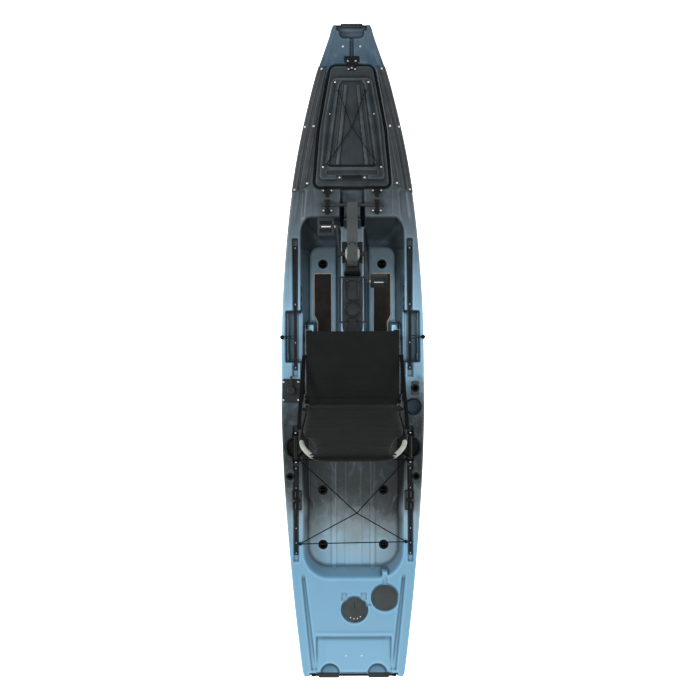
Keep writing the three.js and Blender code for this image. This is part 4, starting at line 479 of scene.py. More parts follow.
def deckHeight(x, y):
    # Height of the moulded deck with everything sunk in it or raised from it
    z = deckBase(x, y)
    reach = np.abs(x)
    # Facets outside the crease lines that run back from the two bow horns
    crease = np.interp(y, [1740, 1790, 2043], [172, 160, 103])
    z = z - 0.34 * np.clip(reach - crease, 0, None) * ease((y - 1740) / 50)
    # Shallow channel along each shoulder behind the side panels
    shoulder = halfBeam(y) - 62
    z = z - 13 * ease(1.35 - np.abs(reach - shoulder) / 27) * ease((1030 - y) / 30) * ease((y - 770) / 110)
    # Raised bands beside the latch area, with an edge that runs down to the cockpit's corners
    band = ease((reach - 254) / 5 + 0.5) * ease((302 - reach) / 8 + 0.5)
    z = z + 4 * band * ease((1030 - y) / 20) * ease((y - 745) / 30)
    base = z.copy()
    z = cockpitHeight(x, y, z)
    z = tankwellHeight(x, y, z)
    # Mast channel: a ramp from the deck down to the hump with a slot either side of it
    ramp = np.interp(y, *well["hump"])
    z = sunk(z, boxDistance(x, y, 0, 935, 72, 92, 4), np.minimum(ramp, base), 8)
    z = sunk(z, boxDistance(reach, y, 66, 868, 8, 70, 6), ramp - 60, 6)
    # Drive well down through the hump
    z = sunk(z, boxDistance(x, y, 0, 623, 46, 45), 110, 6)
    # Hatch: a bevelled lead-in, the seat for the lid, and the hold below
    lid = hatchDistance(x, y)
    z = z - 7 * ease(0.5 - (lid - 17) / 14) * (lid < 60)
    z = sunk(z, lid - 9, deckBase(x, y) - 24, 6)
    z = sunk(z, lid + 32, keelAt(y) + 0.2 * (sheerAt(y) - keelAt(y)) * reach / 230 + 16, 10)
    z = sunk(z, boxDistance(x, y, 0, 1822, 47, 30, 4), deckBase(x, y) - 3, 5)
    # Bow: groove, hand recess, notch for the grip
    groove = boxDistance(x, y, 0, 1893, 10 + (1963 - y) * 0.02, 74, 4)
    z = sunk(z, groove, base - 26, 9)
    z = sunk(z, boxDistance(x, y, 0, 2003, 76, 40, 30), sheerAt(1963) - 46, 10)
    z = sunk(z, boxDistance(x, y, 0, 2060, 94, 50, 4), sheerAt(2012) - 38, 8)
    # Gunwale slots, pockets, hand recesses, rod holes and cup
    for low, high in ((-157, 713), (-1321, -465)):
        z = sunk(z, boxDistance(reach, y, trackX, (low + high) / 2, 18, (high - low) / 2, 6),
                 sheerAt((low + high) / 2) - 16, 7)
    z = sunk(z, boxDistance(reach, y, 371, 97.5, 50, 160.5, 8), 268, 8)
    z = np.maximum(z, np.where(boxDistance(reach, y, 412, 97.5, 9, 160, 2) < 0, 292, -1e3))
    z = sunk(z, discDistance(reach, y, trackX, handRecess["y"], 56), 290, 8)
    for holeX, holeY in rodHoles:
        z = sunk(z, discDistance(x, y, holeX, holeY, 20), sheerAt(holeY) - 90, 5)
    z = sunk(z, discDistance(x, y, *cupAt, 45.5), 270, 5)
    # Stern: valleys along the sides, step, lid seats with their pockets, notch and finger recesses
    valley = np.interp(y, [-2009, -1400], [251, 318])
    width = np.interp(y, [-2009, -1400], [17, 12])
    run = ease((-1380 - y) / 60) * ease((y + 2020) / 22)
    z = z - 17 * ease((width - np.abs(reach - valley)) / 12 + 0.5) * run
    step = ease((-1776 - y) / 36) * ease((238 - reach) / 12 + 0.5)
    z = z - 26 * step
    z = z + 5 * ease((y + 1776) / -14 + 1) * ease((y + 1746) / -26 + 0.6) * ease((246 - reach) / 14) * (y > -1790)
    z = z + 7 * ease((reach - 176) / 50) * step
    for lidX, lidY, radius in lidSeats.values():
        z = sunk(z, discDistance(x, y, lidX, lidY, radius + 9), sheerAt(lidY) + crownAt(lidY) - 13, 8)
    for pocketX, pocketY, halfX, halfY in ((-58, -1541, 20, 26), (64, -1540, 20, 26), (198, -1424, 17, 44),
                                           (92, -1592, 22, 7)):
        z = sunk(z, boxDistance(x, y, pocketX, pocketY, halfX, halfY, 6), sheerAt(pocketY) + crownAt(pocketY) - 8, 6)
    z = sunk(z, boxDistance(x, y, 0, -2060, 279, 36, 3), 279, 6)
    z = sunk(z, discDistance(reach, y, 150, -2030, 60), 258, 10)
    # Scuppers through the floors
    for holeX, holeY, _ in scuppers:
        z = sunk(z, discDistance(reach, y, holeX, holeY, 27), z - 4, 6)
        z = sunk(z, discDistance(reach, y, holeX, holeY, 20), 60, 6)
    return z


def blurred(values, passes):
    # Softens a grid by weights of one, two, one along both of its directions
    for _ in range(passes):
        for axis in (0, 1):
            padded = np.concatenate([np.take(values, [0], axis), values, np.take(values, [-1], axis)], axis)
            count = values.shape[axis]
            values = (np.take(padded, range(count), axis) + 2 * values
                      + np.take(padded, range(2, count + 2), axis)) / 4
    return values


# Hull surfaces: a closed loft of sections, cut into lengths that each stay light
hullGrid = {"stations": 860, "deck": 112, "side": 15, "bottom": 46, "lengths": 4}
hollows = {"leg": (0, 475, 46, 193, 2), "legTop": 82, "propeller": (0, 282, 136), "propellerTop": 84,
           "rudderHalf": 58, "rudderEnds": (-1902, -1562), "rudderTop": 156}


def hullPoints():
    # Sections from the starboard keel line up the side, over the deck and down to port
    y = np.linspace(-form["length"] / 2, form["length"] / 2, hullGrid["stations"])
    cornersX, cornersZ = bottomPoints(y)
    half, sheer = halfBeam(y), sheerAt(y)
    # Bottom: evenly spaced across, with the hollows for the drive, the propeller and the rudder
    bottomX = np.linspace(0, 1, hullGrid["bottom"])[:, None] * cornersX[6]
    passed = (bottomX - cornersX[:6, None]) / np.maximum(np.diff(cornersX[:7], axis=0)[:, None], 1e-6)
    bottomZ = cornersZ[0] + np.sum(np.clip(passed, 0, 1) * np.diff(cornersZ[:7], axis=0)[:, None], axis=0)
    bottomZ = blurred(bottomZ.T, 2).T
    places = np.broadcast_to(y, bottomX.shape)
    bottomZ = sunk(bottomZ, boxDistance(bottomX, places, *hollows["leg"]), hollows["legTop"], 8)
    bottomZ = sunk(bottomZ, discDistance(bottomX, places, *hollows["propeller"]), hollows["propellerTop"], 8)
    fan = hollows["rudderHalf"] + np.maximum(0, (-1644 - places) * 103 / 215)
    rear, front = hollows["rudderEnds"]
    rudderGap = np.maximum.reduce([bottomX - fan, places - front, rear - places + bottomX * 0.25])
    bottomZ = np.maximum(bottomZ, sunk(bottomZ, rudderGap, hollows["rudderTop"], 8))
    for holeX, holeY, _ in scuppers:
        bottomZ = np.maximum(bottomZ, sunk(bottomZ, discDistance(bottomX, places, holeX, holeY, 20), 50, 6))
    # Side: up the corners, then round the gunwale's edge
    sideShare = np.linspace(0, 4, hullGrid["side"])[1:, None]
    passed = np.clip(sideShare - np.arange(4)[:, None, None], 0, 1)
    sideX, sideZ = [corners[6] + np.sum(passed * np.diff(corners[6:], axis=0)[:, None], axis=0)
                    for corners in (cornersX, cornersZ)]
    turn = np.radians([18, 36, 54, 72])[:, None]
    rollX = half - form["edge"] + form["edge"] * np.cos(turn)
    rollZ = sheer - form["edge"] + form["edge"] * np.sin(turn)
    deckX = np.linspace(1, 0, hullGrid["deck"])[:, None] * (half - form["edge"])
    bodyX = np.concatenate([bottomX, sideX])
    bodyZ = np.concatenate([bottomZ, sideZ])
    low = hullGrid["bottom"] - 8
    soft = np.stack([bodyX[low:], bodyZ[low:]])
    for _ in range(4):
        soft[:, 1:-1] = (soft[:, :-2] + 2 * soft[:, 1:-1] + soft[:, 2:]) / 4
    bodyX[low:], bodyZ[low:] = soft
    fullX = np.concatenate([deckX, -deckX[::-1][1:]])
    deckZ = blurred(deckHeight(fullX, np.broadcast_to(y, fullX.shape)), 1)
    drop = deckHeight(half - form["edge"], y) - sheer
    starboard = [np.concatenate([bodyX, rollX]), np.concatenate([bodyZ, rollZ + drop * np.sin(turn)])]
    x = np.concatenate([starboard[0], fullX, -starboard[0][::-1][:-1]])
    z = np.concatenate([starboard[1], deckZ, starboard[1][::-1][:-1]])
    # Marks for the material: how deep the deck lies below its plain form, and how it stands from its surroundings,
    # for its painted shade and light
    wide = ((len(starboard[0]), len(starboard[0]) - 1), (0, 0))
    depth = np.pad(np.clip(deckBase(fullX, y) - deckZ, 0, None), wide)
    relief = np.pad(deckZ - blurred(deckZ, 7), wide)
    return np.stack([x, np.broadcast_to(y, x.shape), z], -1).transpose(1, 0, 2), depth.T, relief.T


def buildHull():
    # Cuts the loft's rows into lengths that share their end rows; a face closes it at bow and stern
    points, depth, relief = hullPoints()
    rows, columns = points.shape[:2]
    edges = np.linspace(0, rows - 1, hullGrid["lengths"] + 1).astype(int)
    for number, (low, high) in enumerate(zip(edges[:-1], edges[1:])):
        part = points[low:high + 1]
        faces = gridFaces(high - low + 1, columns).tolist()
        if number == 0:
            faces.append(list(range(columns)))
        if high == rows - 1:
            last = (high - low) * columns
            faces.append(list(range(last + columns - 1, last - 1, -1)))
        made = newObject(f"hullLength{number + 1}", part.reshape(-1, 3), faces, "hull", "hull",
                         {"depth": depth[low:high + 1], "relief": relief[low:high + 1]})
        if number == 0:
            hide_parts("hull")


buildHull()
print("hull built")

# Shapes: points with quads and end caps, which addPiece joins into one mesh
def shell(grid, closedRows=False):
    # Skin over rows of points that each run round and close; the first and the last row are capped
    rows, columns = grid.shape[:2]
    caps = [] if closedRows else [np.arange(columns), np.arange((rows - 1) * columns, rows * columns)[::-1]]
    return grid.reshape(-1, 3), gridFaces(rows, columns, closedRows), caps


def swept(path, profile, closed=False, scale=1.0, up=(0, 0, 1)):
    # Place = path + sideways * u + upwards * v for each (u, v) of the profile, square to the path
    path = np.asarray(path, float)
    ahead = np.roll(path, -1, 0) - np.roll(path, 1, 0) if closed else np.gradient(path, axis=0)
    ahead /= np.linalg.norm(ahead, axis=1, keepdims=True)
    side = np.cross(ahead, np.asarray(up, float))
    side /= np.linalg.norm(side, axis=1, keepdims=True)
    lift = np.cross(side, ahead)
    sized = np.asarray(profile, float)[None] * np.broadcast_to(scale, len(path))[:, None, None]
    return shell(path[:, None] + side[:, None] * sized[..., :1] + lift[:, None] * sized[..., 1:], closed)


def ringOf(radius, count=12, squash=1.0):
    # A circle of points, or an ellipse whose height is squash times its width
    turn = np.linspace(0, 2 * np.pi, count, endpoint=False)
    return np.stack([radius * np.cos(turn), squash * radius * np.sin(turn)], -1)


def barOf(width, thick, corner=1.2):
    # A rounded rectangle, three points to a corner
    turn = np.radians([0, 45, 90])
    arcs = [np.stack([sx * (width / 2 - corner) + corner * np.cos(turn + start),
                      sy * (thick / 2 - corner) + corner * np.sin(turn + start)], -1)
            for sx, sy, start in ((1, 1, 0), (-1, 1, np.pi / 2), (-1, -1, np.pi), (1, -1, 1.5 * np.pi))]
    return np.concatenate(arcs)


def smoothPath(points, steps=8, closed=False):
    # Each stretch is a cubic whose slopes at its ends come from the points either side
    given = np.asarray(points, float)
    ring = np.concatenate([given[-1:], given, given[:2]]) if closed else np.concatenate(
        [2 * given[:1] - given[1:2], given, 2 * given[-1:] - given[-2:-1]])
    before, low, high, after = ring[:-3, None], ring[1:-2, None], ring[2:-1, None], ring[3:, None]
    t = np.linspace(0, 1, steps, endpoint=False)[None, :, None]
    bent = 0.5 * (2 * low + (high - before) * t + (2 * before - 5 * low + 4 * high - after) * t ** 2
                  + (3 * low - before - 3 * high + after) * t ** 3)
    path = bent.reshape(-1, given.shape[1])
    return path if closed else np.concatenate([path, given[-1:]])


def turned(profile, middle, count=28, alongX=False):
    # (radius, height) points turned about an upright line through middle, or one across; the ends are capped flat
    radius, height = np.asarray(profile, float).T
    turn = np.linspace(0, 2 * np.pi, count, endpoint=False)
    grid = np.stack([radius[:, None] * np.cos(turn), radius[:, None] * np.sin(turn), height[:, None] + 0 * turn], -1)
    if alongX:
        grid = grid[..., [2, 0, 1]]
    return shell(grid + np.asarray(middle, float))


def rounded(corners, steps=5):
    # Outline through (x, y, radius) corners, each replaced by an arc that meets both its edges
    outline = []
    for (x, y, radius), last, following in zip(corners, corners[-1:] + corners[:-1], corners[1:] + corners[:1]):
        corner = np.array([x, y], float)
        back, ahead = np.array(last[:2], float) - corner, np.array(following[:2], float) - corner
        back /= np.linalg.norm(back)
        ahead /= np.linalg.norm(ahead)
        half = math.acos(np.clip(back @ ahead, -1, 1)) / 2
        reach = radius / math.tan(half)
        t = np.linspace(0, 1, steps)[:, None]
        start, end = corner + back * reach, corner + ahead * reach
        outline.append((1 - t) ** 2 * start + 2 * t * (1 - t) * (corner * 0.8 + (start + end) * 0.1) + t ** 2 * end)
    return np.concatenate(outline)


def inset(outline, depth):
    # Moves an anticlockwise outline inward along the mean of its edges' normals
    edge = np.roll(outline, -1, 0) - outline
    normal = np.stack([-edge[:, 1], edge[:, 0]], -1)
    normal /= np.maximum(np.linalg.norm(normal, axis=1, keepdims=True), 1e-9)
    mean = normal + np.roll(normal, 1, 0)
    mean /= np.maximum(np.linalg.norm(mean, axis=1, keepdims=True), 1e-9)
    return outline + mean * depth


def plate(outline, low, high, edge=1.5):
    # An outline raised straight up, its top edge drawn in by a quarter circle
    area = np.sum(outline[:, 0] * np.roll(outline[:, 1], -1) - outline[:, 1] * np.roll(outline[:, 0], -1))
    outline = outline if area > 0 else outline[::-1]
    turns = np.radians([0, 30, 60, 90])
    levels = [(0, low)] + [(edge * (1 - np.cos(turn)), high - edge * (1 - np.sin(turn))) for turn in turns]
    rows = [np.column_stack([inset(outline, depth), np.full(len(outline), z)]) for depth, z in levels]
    return shell(np.stack(rows))


def screwHead(place, radius=5.5, height=2.6):
    # Pan head with a round socket
    return turned([(radius * 0.9, -1.5), (radius, 0.1 * height), (radius * 0.93, 0.6 * height),
                   (radius * 0.6, height), (radius * 0.36, height), (radius * 0.3, height * 0.4)], place, 12)


def screwsOn(heightAt, places, radius=5.5, height=2.6, lift=0):
    # Screw heads at (x, y) on both sides, each on what lies below it
    return [screwHead((side * x, y, heightAt(side * x, y) + lift), radius, height) for x, y in places
            for side in (-1, 1)]


def boxPlan(lowX, lowY, highX, highY, radius, steps=3):
    # Rounded outline of a rectangle
    return rounded([(x, y, radius) for x, y in ((lowX, lowY), (highX, lowY), (highX, highY), (lowX, highY))], steps)


def staple(x, y, profile, bar, steps=5):
    # A strip bent over a place along the (across, along, height) points of one half, mirrored for the other
    half = [(x - dx, y + dy, z) for dx, dy, z in profile]
    return swept(smoothPath(half + [(2 * x - px, py, pz) for px, py, pz in half[-2::-1]], steps), bar, up=(0, 1, 0))


def addPiece(name, shapes, finish, body="hull", angle=38, replaced=(), marks=None):
    # Joins shapes into one mesh on a body, with its slot and the CAD nodes that it stands for
    points, faces, start = [], [], 0
    for shapePoints, quads, caps in shapes:
        points.append(shapePoints)
        faces += (quads + start).tolist() + [(cap + start).tolist() for cap in caps]
        start += len(shapePoints)
    made = newObject(name, np.concatenate(points), faces, finish, body, marks)
    closeMesh(made, angle)
    if replaced:
        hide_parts(*replaced)
    return made


def heightOver(*names):
    # Gives the height in mm of the topmost of some nodes or pieces over a place in plan, or the deck's where none is
    meshes = [(nodes.get(name) or bpy.data.objects[name]).data for name in names]
    trees = [BVHTree.FromPolygons([v.co for v in mesh.vertices], [f.vertices for f in mesh.polygons])
             for mesh in meshes]

    def at(x, y):
        hits = [tree.ray_cast((x * mm, y * mm, 2.0), (0, 0, -1))[0] for tree in trees]
        found = [hit[2] / mm for hit in hits if hit]
        return max(found) if found else float(deckHeight(x, y))
    return at


def sleeved(path, profile, edge=0.05, drawn=0.86, up=(0, 0, 1)):
    # A sleeve along a path, drawn in a little at both its ends
    share = np.linspace(0, 1, len(path))
    return swept(path, profile, scale=np.interp(share, [0, edge, 1 - edge, 1], [drawn, 1, 1, drawn]), up=up)


def circleAt(x, y, z, radius, count=48):
    # A level circle of points about a middle
    return np.column_stack([ringOf(radius, count) + (x, y), np.full(count, float(z))])


def mirrored(half):
    # A whole outline from the corners of its starboard half
    return half + [(-x, y, radius) for x, y, radius in half[::-1]]


def pair(name):
    # A node's name on the left and on the right
    return [f"{name}_left", f"{name}_right"]


nodes = frame["nodes"]
bothSides = (("Left", -1), ("Right", 1))

# Bow panels: moulded covers that follow the deck, roll over the gunwale and lie in ribs along its edge
panelLook = {"front": 1786, "rearIn": 1044, "rearOut": 1002, "under": 0.4, "wrapDown": 42, "rows": 110, "across": 80,
             "inner": ([1002, 1384, 1786], [262, 229, 156]),
             "ribs": ([0, 16, 22, 30, 33, 46, 50, 80, 85, 100, 102, 105, 107, 200],
                      [3.2, 3.4, 6.6, 6.4, 2.6, 2.6, 8.2, 8.6, 4.2, 4.2, 2.4, 2.4, 4.4, 4.4])}


def panelSection(lift, y, share, half, sheer, drop):
    # From the inboard edge out over the deck, round the gunwale's roll and down the side, lift off the hull
    inner = np.interp(y, *panelLook["inner"])
    x = inner + (half - form["edge"] - inner) * share
    rise = np.interp(half - x, *panelLook["ribs"]) * np.clip((x - inner) / 4, 0.35, 1) if lift else panelLook["under"]
    deck = np.stack([x, y, deckHeight(x, y) + rise], -1)
    turn = np.radians([75, 55, 35, 15, 0])
    skin = 3.2 if lift else panelLook["under"]
    yEnd, halfEnd, sheerEnd = y[:, -1:] + 0 * turn, half[:, -1:], sheer[:, -1:]
    roll = np.stack([halfEnd - form["edge"] + (form["edge"] + skin) * np.cos(turn), yEnd,
                     sheerEnd - form["edge"] + (form["edge"] + skin) * np.sin(turn) + drop * np.sin(turn)], -1)
    down = np.array([0.5, 1.0]) * (panelLook["wrapDown"] - form["edge"])
    side = np.stack([halfEnd + skin + 0 * down, y[:, -1:] + 0 * down, sheerEnd - form["edge"] - down], -1)
    return np.concatenate([deck, roll, side], 1)


def bowPanel(side):
    # Two skins over one grid of shares along and across, joined round each row
    share = np.linspace(0, 1, panelLook["across"])[None]
    along = np.linspace(0, 1, panelLook["rows"])[:, None]
    rear = panelLook["rearIn"] + (panelLook["rearOut"] - panelLook["rearIn"]) * share ** 1.5
    y = rear + (panelLook["front"] - rear) * along
    half, sheer = halfBeam(y), sheerAt(y)
    edgeY = y[:, -1]
    drop = (deckHeight(halfBeam(edgeY) - form["edge"], edgeY) - sheerAt(edgeY))[:, None]
    outer = panelSection(True, y, share, half, sheer, drop)
    innerSkin = panelSection(False, y, share, half, sheer, drop)
    inner = np.interp(y, *panelLook["inner"])
    rise = np.interp((half - inner) - (half - form["edge"] - inner) * share, *panelLook["ribs"])
    # The ribs' relief, which the panel's material turns into painted shade and highlight
    relief = np.zeros((len(y), 2 * outer.shape[1]))
    relief[:, :panelLook["across"]] = rise - blurred(rise, 26)
    return shell(np.concatenate([outer, innerSkin[:, ::-1]], 1) * (side, 1, 1)), relief


for sideName, side in bothSides:
    panelShape, panelRelief = bowPanel(side)
    addPiece(f"bowPanel{sideName}Moulded", [panelShape], "panel", "hull", 50,
             [f"bow_panel_{sideName.lower()}"], {"relief": panelRelief})
onPanel = heightOver("bowPanelLeftMoulded", "bowPanelRightMoulded")
panelScrews = [(187, 1768), (294, 1408), (238, 1410), (281, 1056), (360, 1018)]
addPiece("bowPanelScrews", screwsOn(onPanel, panelScrews, 6.5), "steel")
print("bow panels built")


# Hatch lid: a height over its plan, with a raised panel, a tray between the tracks, ribs and a band behind it
lidLook = {"rise": 9, "thick": 14, "rows": 220, "across": 150, "edge": 6, "panelRise": 8, "tray": 8.5,
           "panel": ((1077, 205), (1440, 172), (1706, 122)), "floor": ((1152, 150), (1440, 112), (1705, 76))}


def taperDistance(x, y, ends, radius):
    # Distance from a tapering outline given by its half widths at three places, with rounded corners
    ys, halves = np.array(ends, float).T
    return cornerDistance(np.abs(x) - np.interp(y, ys, halves), np.maximum(ys[0] - y, y - ys[-1]), radius)


def lidHeight(x, y):
    # Deck form plus the lid's own rise, its panel and tray, less the bands, and rounded off at its rim
    reach = np.abs(x)
    z = deckBase(x, y) + lidLook["rise"]
    panel = taperDistance(x, y, lidLook["panel"], 28)
    z = z + lidLook["panelRise"] * ease(0.5 - panel / 7)
    tray = taperDistance(x, y, lidLook["floor"], 16)
    slope = np.interp(y, [1660, 1700], [5, 34])
    z = z - lidLook["tray"] * ease(-tray / slope)
    rib = np.interp(y, [1157, 1657], [93, 38])
    ribRun = ease((1668 - y) / 10) * ease((y - 1160) / 10)
    z = z + 5 * ease((9 - np.abs(reach - rib)) / 4 + 0.5) * ribRun
    z = z - 2.5 * ease((3 - np.abs(reach - rib - 26)) / 3 + 0.5) * ribRun
    band = boxDistance(x, y, 0, 1119, 158, 13, 5)
    z = z - 3 * ease(0.5 - band / 3)
    z = z - 3.5 * ease(0.5 - (boxDistance(x, y, 0, 1089, 104, 15, 6)) / 4)
    rim = np.clip(-(hatchDistance(x, y) + 3), 0, lidLook["edge"])
    return z - lidLook["edge"] * (1 - np.sqrt(1 - (1 - rim / lidLook["edge"]) ** 2))


def hatchLid():
    # A top at the lid's height over a flat bottom, closed round each row, with rows crowded at its corners
    low, high, radius = hatch["ends"][0] + 3, hatch["ends"][1] - 3, hatch["corner"] - 3
    corner = radius * (1 - np.cos(np.linspace(0, np.pi / 2, 14)))
    y = np.concatenate([low + corner, np.linspace(low + radius, high - radius, lidLook["rows"])[1:-1],
                        high - corner[::-1]])[:, None]
    inEnd = np.clip(radius - np.minimum(y - low, high - y), 0, radius)
    half = hatchHalf(y) - 3 - (radius - np.sqrt(radius ** 2 - inEnd ** 2))
    turn = np.linspace(-np.pi / 2, np.pi / 2, lidLook["across"])[None]
    share = np.sin(turn) * 0.35 + 0.65 * turn / (np.pi / 2)
    x = share * half
    top = np.stack([x, y + 0 * x, lidHeight(x, y + 0 * x)], -1)
    bottom = np.stack([x, y + 0 * x, deckBase(x, y) - (lidLook["thick"] - lidLook["rise"]) + 0 * x], -1)
    # The lid's relief, which its material turns into painted shade and highlight
    relief = np.pad(top[..., 2] - blurred(top[..., 2], 14), ((0, 0), (0, lidLook["across"] - 2)))
    return shell(np.concatenate([top, bottom[:, ::-1][:, 1:-1]], 1)), relief


lidShape, lidRelief = hatchLid()
addPiece("hatchLidMoulded", [lidShape], "lid", "hatch", 50, ["hatch_lid"], {"relief": lidRelief})
onLid = heightOver("hatchLidMoulded")
leafTop = onLid(0, 1760) + 4
leafShapes = [plate(boxPlan(-27, 1752, 27, 1790, 4, 4), leafTop - 6, leafTop, 1.2)]
for side in (-1, 1):
    leafShapes += [swept([(side * x, 1797, 422.8) for x in np.linspace(19.5, 37.5, 4)], ringOf(6.6, 16)),
                   plate(boxPlan(28.5 * side - 8.5, 1786, 28.5 * side + 8.5, 1796, 1, 2), leafTop - 5, leafTop, 0.8)]
addPiece("lidHingeLeaf", leafShapes, "black", "hatch")
onTracks = heightOver(*pair("hatch_track"))
addPiece("lidScrews", screwsOn(onTracks, [(104, 1678), (181, 1153)]) + screwsOn(onTracks, [(138, 1481)], 3.5, 1.6)
         + [screwHead((x, y, leafTop), 4.5) for x, y in ((-20, 1760), (20, 1760), (0, 1768))]
         + screwsOn(heightOver("hatch_strap", "hatchLidMoulded"), [(78, 1089)], 5), "steel", "hatch")
# Saddles hold the lid's cord down at its corners and at its crossing
saddle = ((9, -1), (6, 6), (0, 8.5))
addPiece("lidCordSaddles", [staple(x, y, [(across, 0, onLid(x, y) + up) for across, up in saddle], barOf(9, 2.4, 0.8))
                            for x, y in ((85, 1626), (-85, 1626), (0, 1400), (157, 1166), (-157, 1166))],
         "black", "hatch")
sealPlan = rounded(mirrored([(241, 1028, 36), (210, 1384, 60), (137, 1788, 36)]), 9)
sealPath = np.column_stack([sealPlan, deckBase(sealPlan[:, 0], sealPlan[:, 1]) - 16])
addPiece("hatchSeal", [swept(sealPath, barOf(9, 12, 3), closed=True)], "rubber")
print("hatch lid built")

# Small fittings of the foredeck and the bow
onFore = heightOver("hatch_hinge", *pair("deck_bracket"))
addPiece("foredeckScrews", screwsOn(onFore, [(54, 1906)], 6) + screwsOn(onFore, [(25, 1813)], 4.8)
         + screwsOn(onFore, [(129.5, 1008), (180.5, 1008)], 5, 3.4, 3)
         + screwsOn(onFore, [(132, 886), (178, 886)], 6.5, 3.4, 3), "steel")
# Bracket pads: black, each with a tongue behind it, on a base moulded in the deck's own plastic
padPlans = ((1020, 992, 968, 143, 167, 4, 1008), (900, 872, 864, 145, 165, 3, 886))
for sideName, side in bothSides:
    shapes = []
    for front, rear, tip, tongueIn, tongueOut, corner, middle in padPlans:
        plan = [(127, front, 3), (127, rear, 3), (tongueIn, rear, 1), (tongueIn, tip, corner),
                (tongueOut, tip, corner), (tongueOut, rear, 1), (184, rear, 3), (184, front, 3)]
        top = onFore(side * 132, middle)
        points, quads, caps = plate(rounded([(side * x, y, radius) for x, y, radius in plan], 3), top - 12, top + 3,
                                    1.6)
        points[:, 2] += (points[:, 1] - middle) * 0.125   # the deck's slope
        shapes.append((points, quads, caps))
    addPiece(f"bracketPads{sideName}", shapes, "black")
gripLook = {"bow": (2040, 380), "stern": (-2039, 298)}
addPiece("bowGripSleeve", [sleeved([(x, *gripLook["bow"]) for x in np.linspace(-69, 69, 24)],
                                   ringOf(15.5, 20, 0.9))], "arm")
sternBar = np.linspace(-268, 268, 40)
addPiece("sternBar", [swept([(x, *gripLook["stern"]) for x in sternBar], ringOf(6.5, 14), scale=np.interp(
    np.abs(sternBar), [0, 240, 246, 266, 268], [1, 1, 1.55, 1.55, 1.2]))], "black",
         replaced=["stern_handle"])
addPiece("sternGripSleeves", [sleeved([(side * x, *gripLook["stern"]) for x in np.linspace(92, 222, 20)],
                                      ringOf(16.5, 20, 0.95)) for side in (-1, 1)], "arm")

# Cockpit: drain plugs, foot pads, tool holders, ledge rods
plugRings = [(30, -3), (30, 2.5), (28.5, 4), (25, 4), (23.5, 2.6), (23, 0.4), (20, -0.4), (19, -3), (6, -3)]
addPiece("drainPlugs", [turned(plugRings, (side * x, y, z), 36) for x, y, z in scuppers for side in (-1, 1)]
         + [swept([(side * x - 17, y, z - 1), (side * x, y, z), (side * x + 17, y, z - 1)], barOf(7, 5, 1.4))
            for x, y, z in scuppers for side in (-1, 1)], "black")
padCorners = [(130, 60, 8), (230, 60, 8), (230, 194, 22), (252, 238, 20), (252, 511, 12), (130, 511, 12)]
for sideName, side in bothSides:
    outline = rounded([(side * x, y, radius) for x, y, radius in padCorners][::side], 6)
    addPiece(f"footPadCore{sideName}", [plate(outline, 95.6, 100.2, 2.2)], "foamEdge")
    addPiece(f"footPadSkin{sideName}", [plate(inset(outline, 7.5), 99, 101.6, 0.8)], "foam",
             replaced=[f"foot_pad_{sideName.lower()}"])
    # Tool holder: a strip under the rim whose inner edge has three scallops
    y = np.linspace(246, 424, 60)
    scallop = 320 - 7 * np.abs(np.sin((y - 246) / 178 * 3 * np.pi)) ** 0.6
    holder = np.concatenate([np.column_stack([side * (scallop + 7), y]), [[side * 337, 424], [side * 337, 246]]])
    addPiece(f"toolHolder{sideName}", [plate(holder, 300, 324, 2)]
             + [turned([(4.2, 0), (4.2, 3.5), (2.6, 4.4)], (side * 330, place, 324), 12)
                for place in (258, 335, 412)], "black")
    rod = [(side * 289, y, 249) for y in np.linspace(62, 190, 14)]
    addPiece(f"ledgeRod{sideName}", [sleeved(rod, ringOf(7, 14), 0.06, 0.8)]
             + [staple(side * 289, y, [(11, 0, 236), (9, 0, 251), (0, 0, 258)], barOf(14, 2.6, 1))
                for y in (84, 166)], "black")

# Hand recess cups beside the rear tracks, open at the top, and rings round the cup recess and the rod holders
cupWall = [(53, -34), (55, -30), (57, -2), (61, 0.6), (61, 1.8), (57, 2.2), (54, -1), (51, -28), (46, -31), (4, -31)]
onHolders = heightOver("rod_holder_front", *pair("rod_holder_rear"))
addPiece("cupRimRing", [swept(circleAt(*cupAt, 334, 46), barOf(9, 5, 1.6), closed=True)], "black")
addPiece("rodMouthRings", [swept(circleAt(x, y, onHolders(x + 20, y + 26) + 0.6, 19), barOf(11, 4, 1.4), closed=True)
                           for x, y in rodHoles], "rubber")
addPiece("handRecessCups", [turned(cupWall, (side * handRecess["x"], handRecess["y"], sheerAt(handRecess["y"]) - 1),
                                   44) for side in (-1, 1)], "black")
print("cockpit fittings built")

# Track, handle, rod holder and plate screws
railTop = heightOver(*[name for name in nodes if name.startswith((
    "track_", "slide_bracket", "side_handle", "steering_plate", "rod_holder"))])
railScrews = [(trackX, y) for y in (655, 300, 60, -98, -732, -856, -1110, -1202, -1266)]
plateScrews = [(x, y) for y in (-187, -301) for x in (-436, -342)]
addPiece("deckScrews", screwsOn(railTop, railScrews, 4.6, 2) + screwsOn(railTop, [(trackX, -510), (trackX, -692)])
         + [screwHead((x, y, railTop(x, y)), 6) for x, y in plateScrews]
         + screwsOn(heightOver(), [(50, -1915)], 6), "steel")
addPiece("rodPlateScrews", [screwHead((x + dx, y + dy, railTop(x + dx, y + dy)), 3.4, 1.4)
                            for x, y in rodHoles for dx in (-18, 18) for dy in (-36, 36)], "black")
addPiece("sideHandleSleeves", [swept([(side * trackX, y, railTop(side * trackX, y) - 9)
                                      for y in np.linspace(-668, -536, 18)], ringOf(11.5, 18, 0.85))
                               for side in (-1, 1)], "black")

